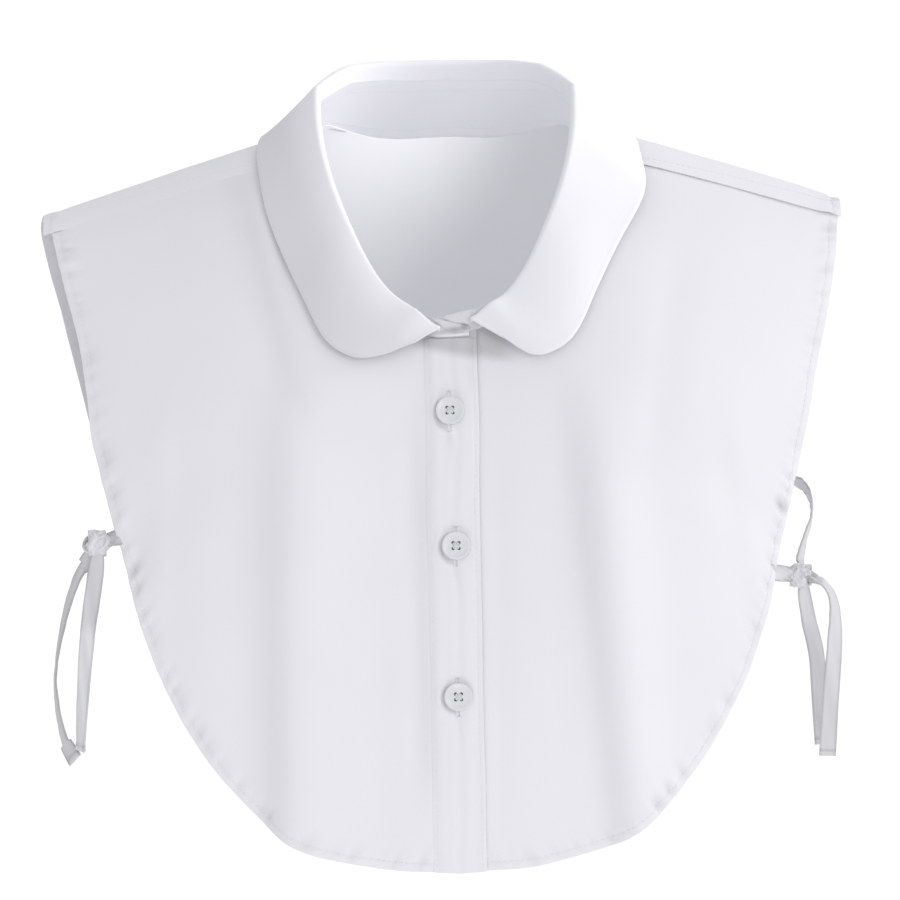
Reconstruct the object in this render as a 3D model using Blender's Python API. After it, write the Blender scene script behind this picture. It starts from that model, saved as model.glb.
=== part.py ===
"""A detachable shirt collar: a dickey of white shirting that is worn under a pullover.

Two front halves lap at a buttoned placket, and one back piece comes over the shoulders to meet them.
A stand and a turned down leaf with rounded points make the collar, and knotted tapes close the sides.
The garment keeps the hollow form that it has when it is worn. All sizes are in metres, +Z is up and
the front faces -Y. The origin is the middle of the neck opening, level with the shoulders.
"""
import math

import bpy
from mathutils import Vector

# Cloth
CLOTH = 0.0010          # wall of a single layer
COLLAR_CLOTH = 0.0012   # wall of the doubled collar layers
SEAM = 0.0003           # space between two pieces that are sewn together
LAYER = CLOTH + SEAM    # distance between the middles of two layers

# Body of the garment, a general figure
RIDGE_Y = 0.006         # top line of the shoulders, in plan
SHOULDER_SLOPE = 0.32
RIDGE_SOFT = 0.025
RIDGE_LEVEL = 0.0277    # height of the shoulder line, carried on to the middle of the neck
FRONT_DEPTH = 0.112     # breast, forward of the origin
FRONT_REACH = 0.195
BACK_DEPTH = 0.085      # shoulder blades, behind the origin
BACK_REACH = 0.210
NECK_REACH = 0.060      # how far the neck's slope spreads to each side
NECK_DIP = 0.0025       # the line of the shoulders dips by this much at the neck
SEAM_TURN = math.radians(9)      # the shoulder seam lies this far forward of the ridge
SEAM_HALF_TURN = 0.0022
TIP_SHIFT = -0.002      # the shoulder tips lie a little to the wearer's right
TIP_SHIFT_POWER = 6     # how soon that shift fades below the tips

# Outline of the armhole and the foot: half the width at each height
OUTLINE = (
    # half_width, height
    (0.1802, -0.0300),
    (0.1740, -0.0680),
    (0.1643, -0.1100),
    (0.1545, -0.1530),
    (0.1431, -0.1970),
    (0.1275, -0.2400),
    (0.1045, -0.2750),
    (0.0755, -0.3003),
    (0.0390, -0.3116),
    (0.0000, -0.3144),
)
# On the wearer's right the back reaches past the front at the armhole
EDGE_SHIFT = (
    # below the tip, back outwards, front inwards
    (0.000, 0.0010, 0.0018),
    (0.008, 0.0042, 0.0014),
    (0.030, 0.0043, 0.0033),
    (0.048, 0.0043, 0.0044),
    (0.065, 0.0050, 0.0034),
    (0.082, 0.0056, 0.0018),
    (0.098, 0.0060, 0.0000),
    (0.130, 0.0060, 0.0000),
    (0.200, 0.0040, 0.0000),
    (0.285, 0.0000, 0.0000),
)
PLACKET_DROP = 0.0012   # the placket starts this far in front of the neck seam, clear of the stand
LAP = 0.0120            # half the overlap of the fronts, and of the placket

# Folds of the hanging cloth: a line on the panel, how far each side of it they spread, and their height
FRONT_FOLDS = (
    # x_top, z_top, x_foot, z_foot, spread_right, spread_left, height
    (-0.0690, -0.070, -0.0730, -0.345, 0.015, 0.024, 0.0068),
    (-0.0960, -0.080, -0.0980, -0.300, 0.012, 0.012, -0.0012),
    (0.0640, -0.080, 0.0805, -0.345, 0.013, 0.018, 0.0054),
    (0.0420, -0.110, 0.0480, -0.320, 0.012, 0.010, -0.0012),
    (0.116, -0.135, 0.160, -0.195, 0.012, 0.012, -0.0022),
    (-0.112, -0.120, -0.150, -0.180, 0.014, 0.014, -0.0016),
)
BACK_FOLDS = (
    (-0.092, -0.060, -0.078, -0.340, 0.014, 0.018, -0.0034),
    (-0.034, -0.090, -0.022, -0.340, 0.016, 0.013, 0.0028),
    (0.040, -0.070, 0.034, -0.340, 0.014, 0.018, -0.0030),
    (0.096, -0.060, 0.088, -0.340, 0.018, 0.014, 0.0030),
)

# Neck opening, in plan
NECK_Y = -0.004
NECK_HALF_WIDTH = 0.057
NECK_FRONT = 0.0603
NECK_BACK = 0.054
NECK_SQUARENESS = 2.4

# Collar: heights over the neck seam, low in front and high behind
ROLL = (
    # degrees from the front, height of the fold
    (0, 0.0071),
    (14, 0.0068),
    (24, 0.0064),
    (34, 0.0090),
    (45, 0.0132),
    (59, 0.0156),
    (75, 0.0163),
    (90, 0.0167),
    (105, 0.0164),
    (112, 0.0176),
    (120, 0.0208),
    (127, 0.0248),
    (135, 0.0292),
    (150, 0.0334),
    (165, 0.0338),
    (180, 0.0333),
)
ROLL_TILT = 0.0006      # the fold is this much higher on the wearer's right than between the two sides
RISE_FRONT = 0.0012     # the leaf rises this much over the top of the stand
RISE_BACK = 0.0080
FOLD_FRONT = 0.0011     # radius of the leaf's fold
FOLD_BACK = 0.0022
FOOT_GAP = 0.0006       # under the foot of the stand, so that its flat facets clear the panels
STAND_LAP = math.radians(8)      # the stand's ends pass the middle by this angle
STAND_LAP_FADE = math.radians(24)
LEAF_END_RIGHT = math.radians(4)         # the leaf stops this far from the middle
LEAF_END_LEFT = math.radians(8.7)
LEAF_SLIP_FULL = math.radians(6)         # nearer its ends than this the leaf hangs in front of the stand
LEAF_SLIP_START = math.radians(17)
LEAF_DROP = 0.0046      # the leaf's points drop this far below the top of the stand
LEAF_DROP_SPREAD = math.radians(10)
LEAF_SHORT = 0.0022     # the left leaf is cut away by this much in plan, beside its point
LEAF_SHORT_FADE = math.radians(20)

# Lower edge of the leaf: plan position and height over the body for each angle round the neck
LEAF_EDGE = (
    # degrees, edge_x, edge_y, lift
    (4, 0.0156, -0.0702, 0.0040),
    (9, 0.0225, -0.0713, 0.0034),
    (15, 0.0310, -0.0728, 0.0028),
    (24, 0.0438, -0.0738, 0.0024),
    (33, 0.0560, -0.0706, 0.0024),
    (45, 0.0660, -0.0605, 0.0026),
    (58, 0.0750, -0.0480, 0.0028),
    (71, 0.0815, -0.0340, 0.0028),
    (82, 0.0845, -0.0190, 0.0026),
    (92, 0.0855, -0.0040, 0.0026),
    (105, 0.0820, 0.0140, 0.0026),
    (125, 0.0690, 0.0385, 0.0040),
    (150, 0.0400, 0.0545, 0.0050),
    (180, 0.0000, 0.0600, 0.0050),
)
LEAF_STAND_OFF = 0.0024 # the points stand off the fronts by this much more than the rest
LEAF_STAND_OFF_FULL = math.radians(20)
LEAF_STAND_OFF_FADE = math.radians(52)
LEAF_FLARE = 0.0065     # the left leaf stands out from the shoulder by this much
LEAF_FLARE_AT = math.radians(74)
LEAF_FLARE_SPREAD = math.radians(13)
LEAF_CROWN_FRONT = 0.0022        # how much the leaf rounds between its fold and its edge
LEAF_CROWN_BACK = -0.0008

# Buttons
BUTTON_RADIUS = 0.0063
BUTTON_HEIGHT = 0.0024
BUTTON_HOLE_RADIUS = 0.0008
BUTTON_HOLE_PITCH = 0.0026
BUTTON_SIDES = 24
BUTTON_GAP = 0.0003
BUTTONS = (
    # name, x, height
    ("button_top", -0.0006, -0.1105),
    ("button_middle", 0.0010, -0.1682),
    ("button_bottom", 0.0008, -0.2342),
)

# Side ties
TAPE_WIDTH = 0.0076
TAPE_CLOTH = 0.0012
KNOT_GAP = 0.0008
KNOT_BULGE = 0.10       # the knot's three lobes
ROOT_GAP_FRONT = 0.0010 # between the middle of a tape's end and the slanting hem that its corner meets
ROOT_GAP_BACK = 0.0018
TIE_STEPS = 22

# Mesh density
ROWS = 17               # from the neck to the outer edge
FRONT_COLUMNS = 26
BACK_COLUMNS = 46
COLLAR_COLUMNS = 64

CLOTH_COLOUR = (0.86, 0.86, 0.89)
BUTTON_COLOUR = (0.90, 0.90, 0.92)


def clear_scene():
    for thing in list(bpy.data.objects):
        bpy.data.objects.remove(thing, do_unlink=True)


def make_material(name, colour, roughness):
    material = bpy.data.materials.new(name)
    material.use_nodes = True
    shader = material.node_tree.nodes["Principled BSDF"]
    shader.inputs["Base Color"].default_value = (*colour, 1.0)
    shader.inputs["Roughness"].default_value = roughness
    shader.inputs["Metallic"].default_value = 0.0
    return material


def smoothstep(low, high, value):
    share = min(max((value - low) / (high - low), 0.0), 1.0)
    return share * share * (3.0 - 2.0 * share)


def smooth_row(rows, key):
    """Read a table at any value of its first column, on a smooth curve through its rows."""
    last = len(rows) - 1
    key = min(max(key, rows[0][0]), rows[last][0])
    i = 0
    while i < last - 1 and key > rows[i + 1][0]:
        i += 1
    start = rows[max(i - 1, 0)]
    a = rows[i]
    b = rows[i + 1]
    end = rows[min(i + 2, last)]
    span = b[0] - a[0]
    t = (key - a[0]) / span
    values = []
    for k in range(1, len(a)):
        slope_a = (b[k] - start[k]) / (b[0] - start[0]) * span
        slope_b = (end[k] - a[k]) / (end[0] - a[0]) * span
        values.append(
            (2 * t**3 - 3 * t**2 + 1) * a[k]
            + (t**3 - 2 * t**2 + t) * slope_a
            + (3 * t**2 - 2 * t**3) * b[k]
            + (t**3 - t**2) * slope_b
        )
    return values


# Form of the body: upright sections from the foot of the front, over the shoulder, to the foot of the back
def ridge_height(x):
    return RIDGE_LEVEL - SHOULDER_SLOPE * math.hypot(x, RIDGE_SOFT) - NECK_DIP * near_neck(x)


def near_neck(x):
    return math.exp(-((x / NECK_REACH) ** 2))


def section_sizes(x, behind):
    """Depth, height and squareness of the quarter section at x."""
    if behind:
        flat = 1.0 - (abs(x) / BACK_REACH) ** 2.5
        return BACK_DEPTH * math.sqrt(flat) - RIDGE_Y, 0.200, 2.0 + 0.6 * near_neck(x)
    flat = 1.0 - (abs(x) / FRONT_REACH) ** 2.2
    return FRONT_DEPTH * math.sqrt(flat) + RIDGE_Y, 0.230 + 0.070 * near_neck(x), 1.5 - 0.3 * near_neck(x)


def body_point(x, turn):
    """Point at x, turned from the shoulder ridge: forward for a negative turn, back for a positive one."""
    depth, height, power = section_sizes(x, turn > 0)
    out = math.sin(min(abs(turn), math.pi / 2))
    z = ridge_height(x) - height * (1.0 - math.sqrt(max(1.0 - out**power, 0.0)))
    z -= height * math.sqrt(power / 2) * max(abs(turn) - math.pi / 2, 0.0)
    y = RIDGE_Y + math.copysign(depth * out, turn)
    return Vector((x, y, z))


def turn_at_height(x, z, behind):
    _, height, power = section_sizes(x, behind)
    drop = max(ridge_height(x) - z, 0.0)
    if drop < height:
        turn = math.asin((1.0 - (1.0 - drop / height) ** 2) ** (1.0 / power))
    else:
        turn = math.pi / 2 + (drop - height) / (height * math.sqrt(power / 2))
    return turn if behind else -turn


def turn_at_plan(x, y):
    depth, _, _ = section_sizes(x, y > RIDGE_Y)
    return math.asin(min(max((y - RIDGE_Y) / depth, -1.0), 1.0))


def body_normal(x, turn):
    step = 0.0005
    angle = 0.004
    across = body_point(x + step, turn) - body_point(x - step, turn)
    along = body_point(x, turn + angle) - body_point(x, turn - angle)
    return across.cross(along).normalized()


def body_at_plan(x, y, lift):
    """Point over the plan position, raised so that it clears the body by lift along the normal."""
    turn = turn_at_plan(x, y)
    point = body_point(x, turn)
    return Vector((x, y, point.z + lift / max(body_normal(x, turn).z, 0.3)))


def fold_height(rows, x, z):
    """Height of all folds at a place on a panel."""
    total = 0.0
    for x_top, z_top, x_foot, z_foot, spread_right, spread_left, height in rows:
        length = math.hypot(x_foot - x_top, z_foot - z_top)
        dir_x = (x_foot - x_top) / length
        dir_z = (z_foot - z_top) / length
        along = ((x - x_top) * dir_x + (z - z_top) * dir_z) / length
        across = (x - x_top) * -dir_z + (z - z_top) * dir_x
        spread = spread_right if across < 0 else spread_left
        fade = smoothstep(0.0, 0.35, along) * (1.0 - smoothstep(0.85, 1.1, along))
        total += height * fade * math.exp(-((across / spread) ** 2))
    return total


def panel_point(x, turn, folds, layer):
    """Middle of the cloth of a panel, with its folds, moved out by its layer."""
    point = body_point(x, turn)
    push = layer(x) + fold_height(folds, x, point.z) * smoothstep(0.2, 0.6, abs(turn))
    return point + body_normal(x, turn) * push


# Curves that bound the panels, as positions (x, turn) on the body
def neck_plan(angle, out=0.0):
    """Point on the neck opening. The angle is 0 in front and positive to the wearer's left."""
    depth = NECK_FRONT if math.cos(angle) > 0 else NECK_BACK
    power = NECK_SQUARENESS
    share = (abs(math.sin(angle)) / NECK_HALF_WIDTH) ** power + (abs(math.cos(angle)) / depth) ** power
    radius = share ** (-1.0 / power) + out
    return radius * math.sin(angle), NECK_Y - radius * math.cos(angle)


def neck_curve(start, end, count=160):
    inner = -COLLAR_CLOTH / 2
    curve = []
    for i in range(count + 1):
        x, y = neck_plan(start + (end - start) * i / count, inner)
        curve.append((x, turn_at_plan(x, y)))
    return curve


def outline_x(side, half, z, behind):
    """Place of the edge across the body, where the outline has this half width and height."""
    tip, tip_z = OUTLINE[0]
    x = side * half + TIP_SHIFT * (half / tip) ** TIP_SHIFT_POWER
    if side < 0:
        outwards, inwards = smooth_row(EDGE_SHIFT, tip_z - z)
        x += -outwards if behind else inwards
    return x


def outline_curve(side, behind, first_turn, count=160):
    """Armhole and foot on one side, from the shoulder seam to the middle of the foot."""
    curve = []
    tip = outline_x(side, *OUTLINE[0], behind)
    if behind:
        for i in range(8):
            curve.append((tip, first_turn * (1.0 - i / 8)))
    rows = [(0.0, *OUTLINE[0])]
    for a, b in zip(OUTLINE, OUTLINE[1:]):
        rows.append((rows[-1][0] + math.hypot(b[0] - a[0], b[1] - a[1]), *b))
    for i in range(count + 1):
        half, z = smooth_row(rows, rows[-1][0] * i / count)
        x = outline_x(side, half, z, behind)
        turn = turn_at_height(x, z, behind)
        if behind or turn < first_turn:
            curve.append((x, turn))
    if not behind:
        curve[0] = (tip, first_turn)
    return curve


def spread_evenly(curve, count):
    """Places at even distances along a curve of (x, turn) positions."""
    points = [body_point(x, turn) for x, turn in curve]
    travelled = [0.0]
    for a, b in zip(points, points[1:]):
        travelled.append(travelled[-1] + (b - a).length)
    places = []
    j = 0
    for i in range(count):
        target = travelled[-1] * i / (count - 1)
        while j < len(travelled) - 2 and travelled[j + 1] < target:
            j += 1
        t = (target - travelled[j]) / max(travelled[j + 1] - travelled[j], 1e-12)
        places.append(tuple(a + (b - a) * t for a, b in zip(curve[j], curve[j + 1])))
    return places


def rays(inner, outer, rows):
    """Grid of positions from the neck edge to the outer edge."""
    grid = []
    for (x0, turn0), (x1, turn1) in zip(inner, outer):
        column = []
        for i in range(rows):
            t = i / (rows - 1)
            column.append((x0 + (x1 - x0) * t, turn0 + (turn1 - turn0) * t))
        grid.append(column)
    return grid


# Solids
def add_object(name, vertices, faces, material, smooth_angle=35):
    mesh = bpy.data.meshes.new(name)
    mesh.from_pydata([tuple(v) for v in vertices], [], faces)
    mesh.update()
    volume = 0.0
    for face in mesh.polygons:
        corners = [Vector(vertices[i]) for i in face.vertices]
        for b, c in zip(corners[1:], corners[2:]):
            volume += corners[0].dot(b.cross(c))
    if volume < 0:
        mesh.flip_normals()
    mesh.shade_smooth()
    mesh.set_sharp_from_angle(angle=math.radians(smooth_angle))
    mesh.materials.append(material)
    thing = bpy.data.objects.new(name, mesh)
    bpy.context.scene.collection.objects.link(thing)
    return thing


def grid_normals(grid):
    """Normals of a grid of points, from the points next to each."""
    last_i = len(grid) - 1
    last_j = len(grid[0]) - 1
    normals = []
    for i in range(last_i + 1):
        row = []
        for j in range(last_j + 1):
            across = grid[min(i + 1, last_i)][j] - grid[max(i - 1, 0)][j]
            along = grid[i][min(j + 1, last_j)] - grid[i][max(j - 1, 0)]
            row.append(across.cross(along).normalized())
        normals.append(row)
    return normals


def close_faces(faces_a, faces_b):
    """Vertices and faces of the closed wall between two matching grids of points."""
    columns = len(faces_a)
    rows = len(faces_a[0])
    vertices = [p for column in faces_a for p in column] + [p for column in faces_b for p in column]
    shift = columns * rows
    faces = []
    for i in range(columns - 1):
        for j in range(rows - 1):
            a = i * rows + j
            quad = (a, a + rows, a + rows + 1, a + 1)
            faces.append(quad)
            faces.append(tuple(k + shift for k in reversed(quad)))
    border = [i * rows for i in range(columns)]
    border += [(columns - 1) * rows + j for j in range(1, rows)]
    border += [i * rows + rows - 1 for i in range(columns - 2, -1, -1)]
    border += [j for j in range(rows - 2, 0, -1)]
    for a, b in zip(border, border[1:] + border[:1]):
        faces.append((b, a, a + shift, b + shift))
    return vertices, faces


def add_wall(name, grid, thickness, material):
    normals = grid_normals(grid)
    half = thickness / 2
    upper = [[p + n * half for p, n in zip(a, b)] for a, b in zip(grid, normals)]
    lower = [[p - n * half for p, n in zip(a, b)] for a, b in zip(grid, normals)]
    vertices, faces = close_faces(upper, lower)
    return add_object(name, vertices, faces, material)


# Fronts
def lap_share(x):
    return 1.0 - smoothstep(LAP + 0.003, LAP + 0.022, abs(x))


def over_layer(x):
    return LAYER / 2 * lap_share(x)


def under_layer(x):
    return -LAYER / 2 * lap_share(x)


def front_panel(name, side, layer, material):
    """One front half, from its lapped edge to its armhole. The side is -1 on the wearer's right."""
    seam_turn = -SEAM_TURN - SEAM_HALF_TURN
    edge_x = -side * LAP
    neck = [place for place in neck_curve(-side * math.radians(30), side * math.radians(100))]
    neck = [(x, turn) for x, turn in neck if x * side >= -LAP and turn <= seam_turn]
    neck[0] = (edge_x, neck[0][1])
    neck[-1] = (neck[-1][0], seam_turn)
    outer = outline_curve(side, False, seam_turn)
    other = outline_curve(-side, False, seam_turn)
    lapped = [(x, turn) for x, turn in reversed(other) if -side * x > 0 and -side * x < LAP]
    outer = outer + lapped + [(edge_x, lapped[-1][1])]
    outer.reverse()
    inner = spread_evenly(neck, FRONT_COLUMNS)
    outer = spread_evenly(outer, FRONT_COLUMNS)
    grid = [
        [panel_point(x, turn, FRONT_FOLDS, layer) for x, turn in column]
        for column in rays(inner, outer, ROWS)
    ]
    return add_wall(name, grid, CLOTH, material)


def front_place(x, z, out):
    """Point on the lapped front, its middle moved out by a distance, and the normal there."""
    turn = turn_at_height(x, z, False)
    normal = body_normal(x, turn)
    push = LAYER / 2 + out + fold_height(FRONT_FOLDS, x, z)
    return body_point(x, turn) + normal * push, normal


def placket(material):
    """Band down the lapped edge, made from the front's own points and moved out."""
    columns = 5
    rows = 26
    top = body_at_plan(0.0, NECK_Y - NECK_FRONT - PLACKET_DROP, 0.0).z
    grid = []
    for i in range(columns):
        x = -LAP + 2 * LAP * i / (columns - 1)
        foot = smooth_row([(half, z) for half, z in reversed(OUTLINE)], abs(x))[0]
        grid.append([front_place(x, top + (foot - top) * j / (rows - 1), LAYER)[0] for j in range(rows)])
    return add_wall("placket", grid, CLOTH, material)


# Back
def back_panel(material):
    seam_turn = -SEAM_TURN + SEAM_HALF_TURN
    neck = neck_curve(-math.radians(100), -math.radians(260), 260)
    neck = [(x, turn) for x, turn in neck if turn >= seam_turn]
    neck[0] = (neck[0][0], seam_turn)
    neck[-1] = (neck[-1][0], seam_turn)
    right = outline_curve(-1, True, seam_turn)
    left = outline_curve(1, True, seam_turn)
    outer = right + list(reversed(left))[1:]
    inner = spread_evenly(neck, BACK_COLUMNS)
    outer = spread_evenly(outer, BACK_COLUMNS)
    grid = [
        [panel_point(x, turn, BACK_FOLDS, lambda x: 0.0) for x, turn in column]
        for column in rays(inner, outer, ROWS)
    ]
    return add_wall("back", grid, CLOTH, material)


# Collar
def from_front(path):
    """Angle from the front, on either side, for a place on the way round the neck."""
    return min(abs(path), 2 * math.pi - path)


def backness(path):
    """0 in front and 1 behind."""
    return math.sin(from_front(path) / 2) ** 2


def roll_height(path):
    return smooth_row(ROLL, math.degrees(from_front(path)))[0] + ROLL_TILT * math.sin(path)


def stand_height(path):
    return roll_height(path) - RISE_FRONT - (RISE_BACK - RISE_FRONT) * backness(path)


def lap_offset(path):
    """The stand's two ends pass each other in front: the first goes outside, the last inside."""
    near_first = 1.0 - smoothstep(STAND_LAP, STAND_LAP_FADE, path)
    near_last = 1.0 - smoothstep(STAND_LAP, STAND_LAP_FADE, 2 * math.pi - path)
    return (COLLAR_CLOTH + SEAM) / 2 * (near_first - near_last)


def stand_foot(path, out):
    """Foot of the stand, just clear of the panels' outer face."""
    angle = -path
    x, y = neck_plan(angle, out)
    layers = LAYER / 2 * lap_share(x) if math.cos(angle) > 0 else 0.0
    return body_at_plan(x, y, CLOTH / 2 + layers + FOOT_GAP)


def stand_point(path, height, out):
    foot = stand_foot(path, out + lap_offset(path))
    foot.z += height
    return foot


def leaf_paths():
    """Places of the collar's sections, closer together in front."""
    paths = []
    for i in range(COLLAR_COLUMNS + 1):
        t = i / COLLAR_COLUMNS
        eased = t - 0.06 * math.sin(2 * math.pi * t)
        paths.append(LEAF_END_RIGHT + (2 * math.pi - LEAF_END_RIGHT - LEAF_END_LEFT) * eased)
    return paths


def collar_stand(material):
    """Band round the neck. Its path starts past the middle, passes the wearer's right and comes round."""
    start = -STAND_LAP
    end = 2 * math.pi + STAND_LAP
    paths = leaf_paths()
    shares = (0.0, 0.06, 0.16, 0.33, 0.6, 0.8)
    first = [start + (paths[0] - start) * share for share in shares]
    last = [end + (paths[-1] - end) * share for share in reversed(shares)]
    paths = first + paths + last
    rows = 3
    outer = []
    inner = []
    for path in paths:
        past = min(path - start, end - path)
        rounding = math.sqrt(1.0 - (1.0 - min(past / math.radians(5), 1.0)) ** 2)
        top = stand_point(path, stand_height(path) * (0.35 + 0.65 * rounding), 0.0).z
        for face, out in ((outer, COLLAR_CLOTH / 2), (inner, -COLLAR_CLOTH / 2)):
            foot = stand_point(path, 0.0, out)
            face.append([Vector((foot.x, foot.y, foot.z + (top - foot.z) * j / (rows - 1))) for j in range(rows)])
    vertices, faces = close_faces(outer, inner)
    return add_object("collar_stand", vertices, faces, material)


def leaf_edge(path):
    angle = from_front(path)
    side = -1 if path < math.pi else 1
    x, y, lift = smooth_row(LEAF_EDGE, math.degrees(angle))
    flare = 0.0
    if side > 0:
        flare = LEAF_FLARE * math.exp(-(((angle - LEAF_FLARE_AT) / LEAF_FLARE_SPREAD) ** 2))
        y += LEAF_SHORT * (1.0 - smoothstep(LEAF_END_LEFT, LEAF_SHORT_FADE, angle))
    x = side * (x + flare)
    stand_off = LEAF_STAND_OFF * (1.0 - smoothstep(LEAF_STAND_OFF_FULL, LEAF_STAND_OFF_FADE, angle))
    return body_at_plan(x, y, lift + flare * 0.45) + body_normal(x, turn_at_plan(x, y)) * stand_off


def leaf_column(path, fall_rows):
    """Section of the leaf: up from the stand, over the fold and down to its edge."""
    share = backness(path)
    radius = FOLD_FRONT + (FOLD_BACK - FOLD_FRONT) * share
    past = min(path - LEAF_END_RIGHT, 2 * math.pi - LEAF_END_LEFT - path)
    slip = 1.0 - smoothstep(LEAF_SLIP_FULL, LEAF_SLIP_START, past)
    drop = LEAF_DROP * (1.0 - smoothstep(0.0, LEAF_DROP_SPREAD, past))
    top = stand_point(path, stand_height(path) + SEAM, 0.0).z
    base = stand_point(path, 0.0, slip * (COLLAR_CLOTH + SEAM))
    base.z = top - drop
    x0, y0 = neck_plan(-path, 0.0)
    x1, y1 = neck_plan(-path, 0.001)
    outward = Vector((x1 - x0, y1 - y0, 0.0)).normalized()
    seam_z = stand_point(path, 0.0, 0.0).z
    centre = Vector((base.x, base.y, seam_z + roll_height(path) - drop - radius)) + outward * radius
    column = [base]
    for degrees in (150, 115, 80, 45):
        a = math.radians(degrees)
        column.append(centre + outward * (radius * math.cos(a)) + Vector((0, 0, radius * math.sin(a))))
    edge = leaf_edge(path)
    start = column[-1]
    fall = edge - start
    crown = Vector((0, 0, 1)) - fall.normalized() * fall.normalized().z
    crown.normalize()
    rounding = LEAF_CROWN_FRONT + (LEAF_CROWN_BACK - LEAF_CROWN_FRONT) * min(2 * share, 1.0)
    rounding *= smoothstep(0.0, LEAF_SLIP_START, past)
    for i in range(1, fall_rows + 1):
        t = i / fall_rows
        column.append(start + fall * t + crown * (rounding * 4 * t * (1 - t)))
    return column


def collar_leaf(material):
    fall_rows = 6
    grid = []
    for path in leaf_paths():
        grid.append(leaf_column(path, fall_rows))
    return add_wall("collar_leaf", grid, COLLAR_CLOTH, material)


# Buttons
def button_profile():
    r = BUTTON_RADIUS
    h = BUTTON_HEIGHT
    return (
        # radius, height
        (0.70 * r, 0.0),
        (0.94 * r, 0.22 * h),
        (1.00 * r, 0.52 * h),
        (0.96 * r, 0.84 * h),
        (0.86 * r, 1.00 * h),
        (0.76 * r, 0.94 * h),
        (0.68 * r, 0.66 * h),
    )


def add_button(name, x, z, material, cutter_material):
    """Turned button with a raised rim, sewn through four holes, flat on the placket."""
    profile = button_profile()
    vertices = []
    for radius, height in profile:
        for k in range(BUTTON_SIDES):
            a = 2 * math.pi * k / BUTTON_SIDES
            vertices.append(Vector((radius * math.cos(a), radius * math.sin(a), height)))
    faces = [tuple(range(BUTTON_SIDES - 1, -1, -1))]
    for i in range(len(profile) - 1):
        for k in range(BUTTON_SIDES):
            a = i * BUTTON_SIDES + k
            b = i * BUTTON_SIDES + (k + 1) % BUTTON_SIDES
            faces.append((a, b, b + BUTTON_SIDES, a + BUTTON_SIDES))
    top = (len(profile) - 1) * BUTTON_SIDES
    faces.append(tuple(top + k for k in range(BUTTON_SIDES)))

    place, normal = front_place(x, z, LAYER)
    across = Vector((1, 0, 0))
    up = normal.cross(across).normalized()
    across = up.cross(normal).normalized()
    foot = place + normal * (CLOTH / 2 + BUTTON_GAP)

    def placed(v):
        return foot + across * v.x + up * v.y + normal * v.z

    button = add_object(name, [placed(v) for v in vertices], faces, material, 30)

    cutters = []
    cutter_faces = []
    sides = 8
    for dx in (-0.5, 0.5):
        for dy in (-0.5, 0.5):
            first = len(cutters)
            for level in (-0.001, BUTTON_HEIGHT + 0.001):
                for k in range(sides):
                    a = 2 * math.pi * k / sides
                    cutters.append(placed(Vector((
                        dx * BUTTON_HOLE_PITCH + BUTTON_HOLE_RADIUS * math.cos(a),
                        dy * BUTTON_HOLE_PITCH + BUTTON_HOLE_RADIUS * math.sin(a),
                        level,
                    ))))
            cutter_faces.append(tuple(first + k for k in range(sides - 1, -1, -1)))
            cutter_faces.append(tuple(first + sides + k for k in range(sides)))
            for k in range(sides):
                a = first + k
                b = first + (k + 1) % sides
                cutter_faces.append((a, b, b + sides, a + sides))
    cutter = add_object(name + "_holes", cutters, cutter_faces, cutter_material)
    cutter.hide_render = True
    cutter.display_type = "WIRE"
    cut = button.modifiers.new("Thread holes", "BOOLEAN")
    cut.operation = "DIFFERENCE"
    cut.solver = "EXACT"
    cut.object = cutter
    return button


# Side ties: a place is x, y, z and how far the tape is turned from facing the front, in degrees
RIGHT_KNOT = (-0.1605, -0.0640, -0.1700)
LEFT_KNOT = (0.1560, -0.0630, -0.1910)
KNOT_SIZE = (0.0062, 0.0052, 0.0060)
TIES = {
    "tie_right_strap": (
        (-0.1560, 0.0420, -0.1690, 90),
        (-0.1500, 0.0150, -0.1712, 90),
        (-0.1480, -0.0150, -0.1722, 90),
        (-0.1515, -0.0420, -0.1712, 75),
        (-0.1566, -0.0572, -0.1702, 45),
    ),
    "tie_right_tail_a": (
        (-0.1615, -0.0660, -0.1766, 10),
        (-0.1640, -0.0650, -0.1900, 5),
        (-0.1672, -0.0640, -0.2100, 0),
        (-0.1688, -0.0640, -0.2300, 0),
        (-0.1694, -0.0645, -0.2500, 5),
        (-0.1703, -0.0650, -0.2690, 10),
    ),
    "tie_right_tail_b": (
        (-0.1642, -0.0570, -0.1760, 60),
        (-0.1712, -0.0500, -0.1900, 72),
        (-0.1775, -0.0480, -0.2110, 78),
        (-0.1812, -0.0480, -0.2340, 80),
        (-0.1806, -0.0500, -0.2500, 74),
        (-0.1782, -0.0530, -0.2630, 60),
        (-0.1728, -0.0575, -0.2705, 40),
    ),
    "tie_left_strap": (
        (0.1555, 0.0480, -0.1672, 90),
        (0.1605, 0.0330, -0.1674, 90),
        (0.1630, 0.0120, -0.1698, 90),
        (0.1625, -0.0120, -0.1738, 88),
        (0.1592, -0.0340, -0.1790, 80),
        (0.1570, -0.0480, -0.1835, 70),
        (0.1562, -0.0572, -0.1870, 60),
    ),
    "tie_left_tail_a": (
        (0.1622, -0.0680, -0.1930, 15),
        (0.1668, -0.0690, -0.1950, 10),
        (0.1708, -0.0685, -0.2030, 5),
        (0.1706, -0.0675, -0.2200, 0),
        (0.1690, -0.0665, -0.2380, 5),
        (0.1680, -0.0660, -0.2560, 10),
        (0.1668, -0.0660, -0.2735, 10),
    ),
    "tie_left_tail_b": (
        (0.1572, -0.0590, -0.1976, 40),
        (0.1594, -0.0560, -0.2120, 24),
        (0.1628, -0.0545, -0.2290, 18),
        (0.1640, -0.0545, -0.2460, 20),
        (0.1646, -0.0550, -0.2590, 14),
        (0.1652, -0.0560, -0.2700, 10),
    ),
}


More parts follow.
